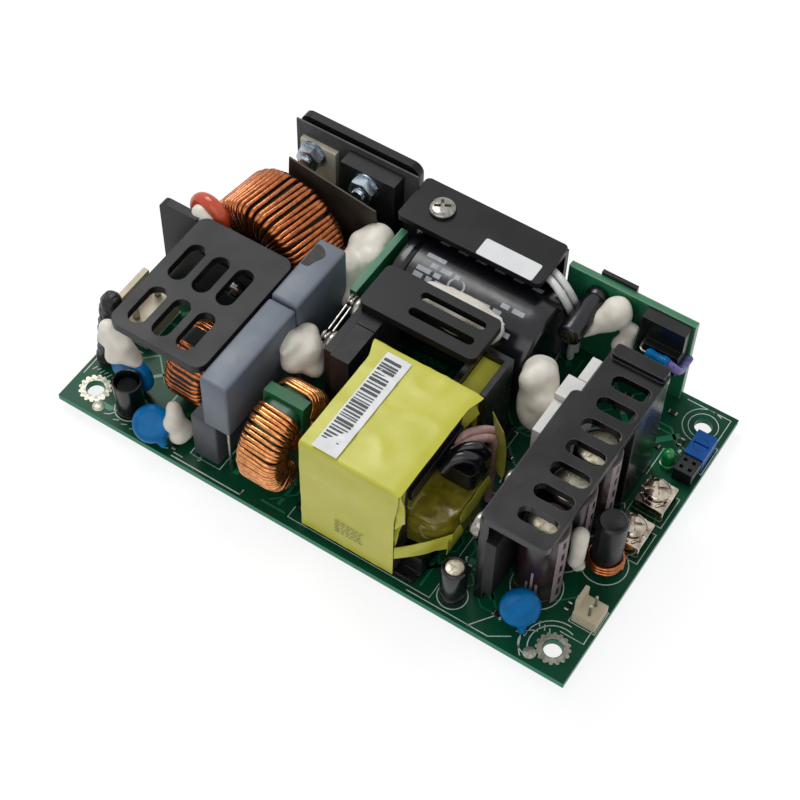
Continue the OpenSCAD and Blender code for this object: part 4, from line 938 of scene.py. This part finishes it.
def patch(radius, start, end, low, high, steps=10):
    """A thin print on a can's side between two angles and two heights."""
    verts = []
    for k in range(steps + 1):
        a = math.radians(start + (end - start) * k / steps)
        verts += [(radius * math.cos(a), radius * math.sin(a), z) for z in (low, high)]
    return verts, [(2 * k, 2 * k + 2, 2 * k + 3, 2 * k + 1) for k in range(steps)]


cans, tops, stripes, marks, prints = Shape(), Shape(), Shape(), Shape(), Shape()


def row_of_dashes(radius, start, end, low, lengths, gap, place):
    """Plain dashes of given lengths one after another up a can, between two angles."""
    for length in lengths:
        prints.put(patch(radius, start, end, low, low + length, 3), place)
        low += length + gap


for (a, b), turned in zip(solids("output_capacitors"), (-6, 4, -2)):
    radius, height = (b.x - a.x) / 2, b.z - a.z
    place = at((a.x + b.x) / 2, (a.y + b.y) / 2, a.z, turned)
    cans.put(lathe(can_profile(radius, height, True), 48), place)
    tops.put(can_top(radius, height), place)
    stripes.put(patch(radius + 0.02, -24, 14, 0.9, height - 0.9), place)
    for k in range(5):
        marks.put(patch(radius + 0.04, -10, 0, 3 + k * 4.4, 5.4 + k * 4.4, 3), place)
    for k in range(3):
        stripes.put(patch(radius + 0.02, -66 - k * 12, -60 - k * 12, 5, 9 + 4 * (k % 2), 2), place)
make("output_can_sleeves", cans, maroon_sleeve, "output_capacitors")
make("output_can_stripes", stripes, pale_ink)
make("output_can_marks", marks, maroon_sleeve)

a, b = limits("standing_capacitor")
radius, height = (b.x - a.x) / 2, b.z - a.z
place = at((a.x + b.x) / 2, (a.y + b.y) / 2, a.z, 60)
can = Shape(lathe(can_profile(radius, height, True), 40), place)
make("small_can_sleeve", can, sleeve, "standing_capacitor")
tops.put(can_top(radius, height, 2), place)
prints.put(patch(radius + 0.02, 20, 62, 0.8, height - 0.8), place)

# The lying can is drawn a little longer and thicker than its solid, and set over towards the output
a, b = limits("lying_capacitor")
radius, length = (b.x - a.x) / 2 + 0.2, b.y - a.y + 2.6
place = at((a.x + b.x) / 2 + 1.1, b.y, (a.z + b.z) / 2 + 0.2, tilt=90)
can = Shape(lathe(can_profile(radius, length, True), 32), place)
make("lying_can_sleeve", can, sleeve, "lying_capacitor")
tops.put(can_top(radius, length, 2), place)
for start, lengths in ((236, (1.6, 1.0, 2.4)), (252, (1.0, 2.2, 1.2)), (268, (3.2, 1.6))):
    row_of_dashes(radius + 0.02, start, start + 9, 2.4, lengths, 0.5, place)

# The large can lies along X with its bung to the left
a, b = limits("bulk_capacitor")
radius, length = (b.z - a.z) / 2, b.x - a.x
place = at(a.x, (a.y + b.y) / 2, (a.z + b.z) / 2, lean=90)
bung_end = [(0, 0), (radius - 1.6, 0), (radius - 1, 0.15), (radius - 0.3, 0.6), (radius, 1.4), (radius, 2.5),
            (radius - 0.35, 2.8), (radius - 0.6, 3.2), (radius - 0.35, 3.6), (radius, 3.9)]
side = [(radius, length * k / 8) for k in range(2, 8)]
top_end = [(radius, length - 1.6), (radius - 0.3, length - 0.6), (radius - 1, length - 0.1),
           (radius - 1.8, length), (radius - 2.2, length - 0.3), (0, length - 0.3)]
can = Shape(lathe(bung_end + side + top_end, 72), place)
make("large_can_sleeve", can, sleeve, "bulk_capacitor")
# Angle 180 is the can's top line, smaller angles turn towards the front
on_sleeve = radius + 0.03
for start, low, lengths in (
        (207, 5.6, (2.2, 1.4, 3.0, 1.2)), (200, 5.6, (3.4, 1.6)), (192, 8.2, (1.6, 2.6, 1.2)),
        (183, 6.0, (4.6,)), (214, 18.0, (2.6, 1.4, 1.8, 2.8)), (205, 18.6, (1.2, 3.6, 2.0)),
        (221, 24.6, (3.2, 2.4)), (196, 26.0, (2.0, 2.8))):
    row_of_dashes(on_sleeve, start, start - 5.2, low, lengths, 0.8, place)
row_of_dashes(on_sleeve, 150, 158, 6, (2.4,) * 6, 2.2, place)
# A printed oval ring, lifted by a share of the radius so that it lies on the sleeve
lifted = radius * 1.003
oval = []
for t in [k * math.pi / 8 for k in range(17)]:
    turned = math.radians(198 + 8 * math.cos(t))
    oval.append((lifted * math.cos(turned), lifted * math.sin(turned), 15.2 + 1.8 * math.sin(t)))
for (x0, y0, z0), (x1, y1, z1) in zip(oval, oval[1:]):
    corners = [(x0, y0, z0), (x1, y1, z1), (x1, y1, z1 + 0.5), (x0, y0, z0 + 0.5)]
    prints.put((corners, [(0, 1, 2, 3)]), place)
make("sleeve_prints", prints, grey_ink)
make("can_tops", tops, can_metal)


# ---------------------------------------------------------------- wires, rods and small parts

wires = Shape()
for back, rise in ((0, 0), (2.3, 0.2)):
    path = [(16, 33 - back, 27.4 + rise), (19.6, 31.2 - back, 28.1 + rise), (22.3, 30 - back, 27.6),
            (23.8, 30.1 - back, 25.4), (24.25, 31.4 - back, 22), (24.3, 33.2 - back, 18),
            (24.6, 34.2 - back, 10), (24.6, 34.2 - back, 2.6)]
    wires.put(tube(soft_line(path), 0.86, 14))
make("white_sleeved_wires", wires, white_sleeve, "sleeved_wires")

# Two flying leads side by side, from the coil down to the board
leads = Shape()
for back, nearer in ((0, 0), (1.7, 1.1)):
    path = [(24, -18, 26.6)] + [(x - nearer, y, z) for x, y, z in (
        (25.2, -15.4, 27.3), (26.8, -12.9, 27.1), (28.4, -10.8, 26), (28.9, -9.9, 23.4), (28.8, -9.9, 12),
        (28.8, -9.9, 2.55))]
    leads.put(tube(soft_line([(x, y + back, z) for x, y, z in path]), 0.9, 14))
make("pink_flying_leads", leads, pink_sleeve, "transformer_leads")

# Black sleeved winding ends folded over the coil former
folded = Shape()
folded.put(tube(soft_line([(24.2, -21.8, 25.2), (25.4, -20.6, 28), (27.4, -19, 28.8), (29.4, -17.8, 27.6),
                           (30.2, -17.4, 24.8)]), 1.3, 14))
folded.put(tube(soft_line([(24.8, -18.8, 27.4), (26.4, -17, 28.8), (28.4, -15.6, 28.8), (30, -14.8, 26.2)]),
                1.15, 14))
make("black_sleeved_leads", folded, sleeve)

# Rod choke: its sleeve rolls in over the ferrite, and three loops of wire climb round it
a, b = limits("rod_choke_core")
mid, radius = (a + b) / 2, (b.x - a.x) / 2 - 0.15
rod = lathe([(0, a.z), (radius, a.z), (radius, b.z - 1.3), (radius - 0.12, b.z - 0.6),
             (radius - 0.6, b.z - 0.2), (radius - 0.9, b.z - 0.35), (0, b.z - 0.35)], 36)
make("rod_choke_sleeve", Shape(rod, at(mid.x, mid.y, 0)), rubber_sleeve, "rod_choke_core")
a, b = limits("rod_choke_winding")
loop_count, loop_radius, loop_points = 3, 3.6, 95
loops = []
for k in range(loop_points + 1):
    t = k * loop_count * 2 * math.pi / loop_points
    loops.append((mid.x + loop_radius * math.cos(t) * (1 + 0.04 * math.sin(t * 1.7)),
                  mid.y + loop_radius * math.sin(t), a.z + 0.9 + (b.z - a.z - 1.6) * k / loop_points))
make("rod_choke_loops", Shape(tube(loops, 0.45, 10)), enamel, "rod_choke_winding",
     sharp=80)

# Indicator: a lens with a flange and a round top
(a, b), socket_box = solids("indicator_and_socket")
lens_radius, dome_z = 1.5, 3.4
dome = [(lens_radius * math.cos(math.radians(t)), dome_z + lens_radius * math.sin(math.radians(t)))
        for t in (15, 30, 45, 60, 75)]
lens = lathe([(0, 0), (1.8, 0), (1.8, 0.9), (lens_radius, 1.0), (lens_radius, dome_z)] + dome +
             [(0, dome_z + lens_radius)], 32)
mid = (a + b) / 2
make("indicator_lens", Shape(lens, at(mid.x, mid.y, a.z)), green_lens,
     "indicator_and_socket")

# Socket: four square ways, 2 mm apart, with a pin in each
a, b = socket_box
socket = block((a.x, b.x), (a.y, b.y), (a.z, b.z), 0.15, 1)
pin_depth, first_pin, pin_pitch = 2, 1.3, 2
pins = Shape()
for i in (0, 1):
    for j in (0, 1):
        x, y = a.x + first_pin + pin_pitch * i, a.y + first_pin + pin_pitch * j
        socket = carve(socket, block(about(x, 0.8), about(y, 0.8), (b.z - pin_depth, b.z + 1)))
        pins.put(lathe([(0, 0), (0.28, 0), (0.28, 1), (0, 1.2)], 10), at(x, y, b.z - pin_depth))
make("pin_socket", Shape(socket), bobbin)
make("socket_pins", pins, brass_screw)

# Plain white label with round corners on the angle heatsink
top = limits("angle_heatsink")[1].z
outline = []
for x, y, start in ((15.7, 29.6, 0), (2.9, 29.6, 90), (2.9, 25.7, 180), (15.7, 25.7, 270)):
    outline += arc(x, y, 0.5, start, start + 90, 5)
make("white_label", Shape(plate(outline, top, top + 0.05)), paper)


def barrel(radius, length):
    """A dipped resistor's body, with its ends swollen over the caps."""
    half = [(0, 0), (radius * 0.7, 0), (radius, 0.5), (radius, 1.3), (radius * 0.86, 1.9)]
    return lathe(half + [(r, length - z) for r, z in reversed(half)], 20)


# Film resistor in front of the daughter board, one lead bare and one in a violet sleeve
resistor = Shape(barrel(1.2, 5.4), at(42.6, 29.5, 20.4, lean=90))
make("blue_film_resistor", resistor, blue_dip)
bare_lead = soft_line([(43, 29.5, 20.4), (41.4, 29.6, 20.4), (40.9, 31, 20.4), (40.9, 36.2, 20.4)])
make("film_resistor_lead", Shape(tube(bare_lead, 0.3, 8)), tin)
sleeved_lead = soft_line([(47.8, 29.5, 20.4), (49.2, 29.6, 19.6), (50, 30.6, 18), (50, 33, 16.6),
                          (50, 36.2, 16.4)])
make("violet_sleeve", Shape(tube(sleeved_lead, 0.95, 12)), violet_braid)

# ---------------------------------------------------------------- print, tracks and vias on the board
edge = limits("board")[1]
board_top = edge.z


def kept_on_board(value, limit):
    """A place along one axis, no nearer than 0.3 mm to the board's edge."""
    return max(min(value, limit - 0.3), 0.3 - limit)


def around(a, b, margin):
    """The four corners round a box, a margin away from it."""
    return [(a.x - margin, a.y - margin), (b.x + margin, a.y - margin), (b.x + margin, b.y + margin),
            (a.x - margin, b.y + margin)]


lines = Shape()


def drawn(path, width=0.24, closed=False):
    """A line of print on the board."""
    lines.put(ribbon(path, width, board_top, closed=closed))


def drawn_arc(x, y, radius, start, end, width=0.24):
    """A curved line of print between two angles."""
    drawn(arc(x, y, radius, start, end, 28), width)


def drawn_circle(x, y, radius, width=0.24):
    """A closed ring of print."""
    drawn(arc(x, y, radius, 0, 360, 28)[:-1], width, closed=True)


for node, margin in (("input_connector", 0.2), ("film_capacitor_low", 0.6), ("transformer_bobbin", 0.5),
                     ("trimmer_body", 0.5), ("fan_connector", 0.4), ("small_transformer_bobbin", 0.6)):
    corners = around(*limits(node), margin)
    drawn([(kept_on_board(x, edge.x), kept_on_board(y, edge.y)) for x, y in corners], closed=True)
for node, margin in (("standing_capacitor", 0.4), ("resistor_sleeve", 0.4), ("rod_choke_core", 1.6),
                     ("trimmer_rotor", 0.0)):
    a, b = limits(node)
    drawn_circle((a.x + b.x) / 2, (a.y + b.y) / 2, (b.x - a.x) / 2 + margin)
for a, b in solids("output_capacitors"):
    drawn_circle((a.x + b.x) / 2, (a.y + b.y) / 2, 5.5)
for a, b in solids("output_terminals"):
    drawn([(a.x - 0.6, a.y - 0.5), (b.x + 0.5, a.y - 0.5), (b.x + 0.5, b.y + 0.5), (a.x - 0.6, b.y + 0.5)],
          closed=True)
    drawn_arc(a.x - 3.4, a.y - 0.8, 2.2, 10, 250, 0.2)
drawn_circle(HOLE_X, HOLE_Y, 3.3, 0.2)
drawn_arc(HOLE_X, HOLE_Y, 4.6, 60, 330, 0.2)
for width, path in ((0.24, [(51.6, 36.9), (62.2, 36.9), (62.2, 27.6)]),
                    (0.2, [(53.4, 14.6), (53.4, 22.6), (56.4, 22.6)]),
                    (0.3, [(-33.6, -37.3), (-15.6, -37.3), (-15.6, -35.9)]),
                    (0.24, [(-33.6, -36.4), (-31.2, -36.4)]),
                    (0.24, [(26, -37.2), (45.4, -37.2), (49.4, -34.6)]),
                    (0.24, [(40.6, -37.4), (44.2, -32.4)]),
                    (0.24, [(-62.6, -30.4), (-62.6, -19), (-55, -19)]),
                    (0.24, [(57, -28.2), (62.4, -28.2), (62.4, -18.6)])):
    drawn(path, width)
drawn_arc(53.8, -33.6, 3.0, 100, 300, 0.22)
drawn_arc(-52.6, -34.4, 2.2, -80, 90, 0.22)
for radius, start, end in ((5.2, 70, 215), (6.3, 84, 170), (6.9, 190, 226)):
    drawn_arc(HOLE_X, -HOLE_Y, radius, start, end)
for k in range(9):
    drawn([(47.2 + k * 1.3, -27.6 - k * 0.2), (47.8 + k * 1.3, -28.8 - k * 0.2)], 0.22)
for k in range(7):
    drawn([(-49.6 + 2.2 * k, -36.8), (-48.4 + 2.2 * k, -36.2)], 0.22)
    drawn([(-61.6 + k, -28.6 + 0.4 * (k % 2)), (-61.1 + k, -27.4)], 0.2)
make("board_print", lines, silk)

# Boxes of the parts low on the board: vias and chip parts keep clear of them
passed_over = ("board", "solder_joints", "component_leads", "adhesive", "connector_pins", "board_lands",
               "machine_screws", "line_choke_winding", "mode_choke_winding")
low_parts = [limits(name) for name in nodes if name not in passed_over and limits(name)[0].z < 7]
crowded = [(a, b) for a, b in low_parts if (b - a).x < 40 and (b - a).y < 45]


def clear_of_parts(x, y, margin=0.8):
    """Whether a place on the board is free."""
    return all(not (a.x - margin < x < b.x + margin and a.y - margin < y < b.y + margin) for a, b in crowded)


def from_hole(x, y):
    """The distance from the nearest mounting hole."""
    return math.hypot(abs(x) - HOLE_X, abs(y) - HOLE_Y)


# Tracks wander in straight runs with bends of 45 degrees, and start at a via where no part stands
track_count, chip_tries, chip_spacing = 170, 900, 3.4
tracks, vias = Shape(), Shape()
directions = [(1, 0), (0, 1), (-1, 0), (0, -1), (0.7, 0.7), (-0.7, 0.7), (0.7, -0.7), (-0.7, -0.7)]
for _ in range(track_count):
    x, y = random.uniform(-61, 61), random.uniform(-36.6, 36.6)
    width, path, heading = random.choice((0.35, 0.5, 0.8, 1.4)), [(x, y)], random.randrange(8)
    for _ in range(random.randint(2, 4)):
        dx, dy = directions[heading]
        run = random.uniform(2.5, 8)
        x, y = x + dx * run, y + dy * run
        if abs(x) > 61.6 or abs(y) > 36.6 or from_hole(x, y) < 5:
            break
        path.append((x, y))
        bends = [d for d in directions if 0.5 < d[0] * dx + d[1] * dy < 0.95]
        heading = directions.index(random.choice(bends or [(dx, dy)]))
    if len(path) > 1:
        tracks.put(ribbon(path, width, board_top, 0.02))
        if clear_of_parts(*path[0]) and len(path) > 2:
            via = lathe([(0, 0), (0.5, 0), (0.42, 0.05), (0.2, 0.02), (0, -0.05)], 12)
            vias.put(via, at(*path[0], board_top + 0.02))
make("board_tracks", tracks, track_mask)
make("tinned_vias", vias, tin)

# Chip parts: a ceramic body between two tinned ends
chips, chip_ends, placed = Shape(), Shape(), []
for _ in range(chip_tries):
    x, y = random.uniform(-61.5, 61.5), random.uniform(-36.6, 36.6)
    taken = from_hole(x, y) < 6 or not clear_of_parts(x, y, 1.9)
    if taken or any(math.hypot(x - u, y - v) < chip_spacing for u, v in placed):
        continue
    placed.append((x, y))
    place = at(x, y, board_top, random.choice((0, 90)))
    chips.put(block((-0.65, 0.65), (-0.5, 0.5), (0.05, 0.55), 0.06, 1), place)
    for side in (-1, 1):
        chip_ends.put(block(about(side * 0.85, 0.44), (-0.52, 0.52), (0.02, 0.6), 0.08, 1), place)
make("chip_parts", chips, moulding)
make("chip_part_ends", chip_ends, tin)

# Underside: tracks with one square bend between solder joints that are near each other
joints = [((a + b) / 2).xy for a, b in solids("solder_joints")]
under = Shape()
for one, two in zip(joints, joints[1:]):
    if (two - one).length < 13:
        bend = (one.x, two.y) if random.random() < 0.5 else (two.x, one.y)
        path = [tuple(one), bend, tuple(two)]
        if all((Vector(p) - Vector(q)).length > 0.2 for p, q in zip(path, path[1:])):
            under.put(ribbon(path, random.choice((1.2, 1.8, 2.6)), -0.04, 0.0))
make("underside_tracks", under, wide_track_mask)

# ---------------------------------------------------------------- CAD nodes that only need their finish
for material, names in (
        (anodised, ("left_heatsink", "centre_bracket", "angle_heatsink", "rear_heatsink")),
        (gloss_anodised, ("right_heatsink",)),
        (moulding, ("bridge_rectifier", "centre_transistors", "rear_rectifier_black", "output_rectifiers",
                    "fusible_resistor")),
        (bobbin, ("transformer_bobbin", "small_transformer_bobbin", "daughter_parts")),
        (ferrite, ("line_choke_core", "pfc_choke_core", "transformer_core")),
        (green_ferrite, ("mode_choke_core",)),
        (green_nylon, ("mode_choke_divider",)),
        (tin, ("solder_joints", "component_leads", "connector_pins")),
        (land_metal, ("board_lands",)),
        (cream_nylon, ("input_connector", "fan_connector")),
        (white_nylon, ("white_spacers",)),
        (tape, ("small_transformer_tape",)),
        (riser_mask, ("riser_board", "daughter_board")),
        (board_mask, ("board",)),
        (pale_sheet, ("rear_rectifier_pale",)),
        (grey_sheet, ("rear_insulator",)),
        (dark_sheet, ("rear_shield",)),
        (sleeve, ("resistor_sleeve",)),
        (blue_nylon, ("trimmer_body", "trimmer_rotor"))):
    for name in names:
        wear(name, material)

# ---------------------------------------------------------------- stage, light and camera
floor = bpy.data.objects.new("floor", bpy.data.meshes.new("floor"))
floor.data.from_pydata([(-2, -2, 0), (2, -2, 0), (2, 2, 0), (-2, 2, 0)], [], [(0, 1, 2, 3)])
floor.location.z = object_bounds()[0].z
bpy.context.scene.collection.objects.link(floor)


def white_where_seen(tree, target, lit, seen):
    """A pale ground: plain for the light it gives, white where the camera or a reflection sees it."""
    rays = add(tree, "LightPath").outputs
    shown = rays["Is Camera Ray"]
    for kind in ("Is Glossy Ray", "Is Transmission Ray"):
        shown = add(tree, "Math", {0: shown, 1: rays[kind]}, operation="MAXIMUM").outputs[0]
    tree.links.new(add(tree, "MixShader", {0: shown, 1: lit, 2: seen}).outputs[0], target)


pale = bpy.data.materials.new("matt_white_paint")
pale.use_nodes = True
tree = pale.node_tree
tree.nodes.clear()
speck = add(tree, "TexNoise", {"Scale": 40.0}).outputs[0]
ground = add(tree, "Mix", {0: speck, 6: srgb("#dcdcdc"), 7: srgb("#e2e2e2")}, data_type="RGBA").outputs[2]
matt = add(tree, "BsdfDiffuse", {"Color": ground}).outputs[0]
part_matt = add(tree, "BsdfDiffuse", {"Color": srgb("#8a8a8a")}).outputs[0]
glow = add(tree, "Emission", {"Color": (1, 1, 1, 1), "Strength": 0.84}).outputs[0]
seen = add(tree, "AddShader", {0: part_matt, 1: glow}).outputs[0]
white_where_seen(tree, add(tree, "OutputMaterial").inputs[0], matt, seen)
floor.data.materials.append(pale)

world = bpy.data.worlds.new("studio")
bpy.context.scene.world = world
world.use_nodes = True
tree = world.node_tree
tree.nodes.clear()
lit = add(tree, "Background", {"Color": srgb("#f4f6fa"), "Strength": 0.4}).outputs[0]
seen = add(tree, "Background", {"Color": (1, 1, 1, 1), "Strength": 1.0}).outputs[0]
white_where_seen(tree, add(tree, "OutputWorld").inputs[0], lit, seen)


def lamp(name, place, size, power, aim=(0, 0, 0.01)):
    """A square lamp turned towards the part; places and size are metres, power is watts."""
    light = bpy.data.lights.new(name, "AREA")
    light.size, light.energy = size, power
    piece = bpy.data.objects.new(name, light)
    piece.location = place
    piece.rotation_euler = (Vector(aim) - Vector(place)).to_track_quat("-Z", "Y").to_euler()
    bpy.context.scene.collection.objects.link(piece)


lamp("key", (-0.35, 0.22, 0.65), 0.35, 2.5)
lamp("fill", (0.12, -0.6, 0.5), 0.6, 1.25)

# The camera has a long lens and looks down from high up, beyond the front right corner
camera = bpy.data.objects.new("camera", bpy.data.cameras.new("camera"))
camera.location = (0.12383, -0.20174, 0.33820)
camera.rotation_euler = (0.616574, -0.0177532, 0.5742806)
camera.data.sensor_width, camera.data.lens = 36.0, 85.134
camera.data.clip_start, camera.data.clip_end = 0.01, 20.0
bpy.context.scene.collection.objects.link(camera)
bpy.context.scene.camera = camera
bpy.context.scene.view_settings.view_transform = "Standard"
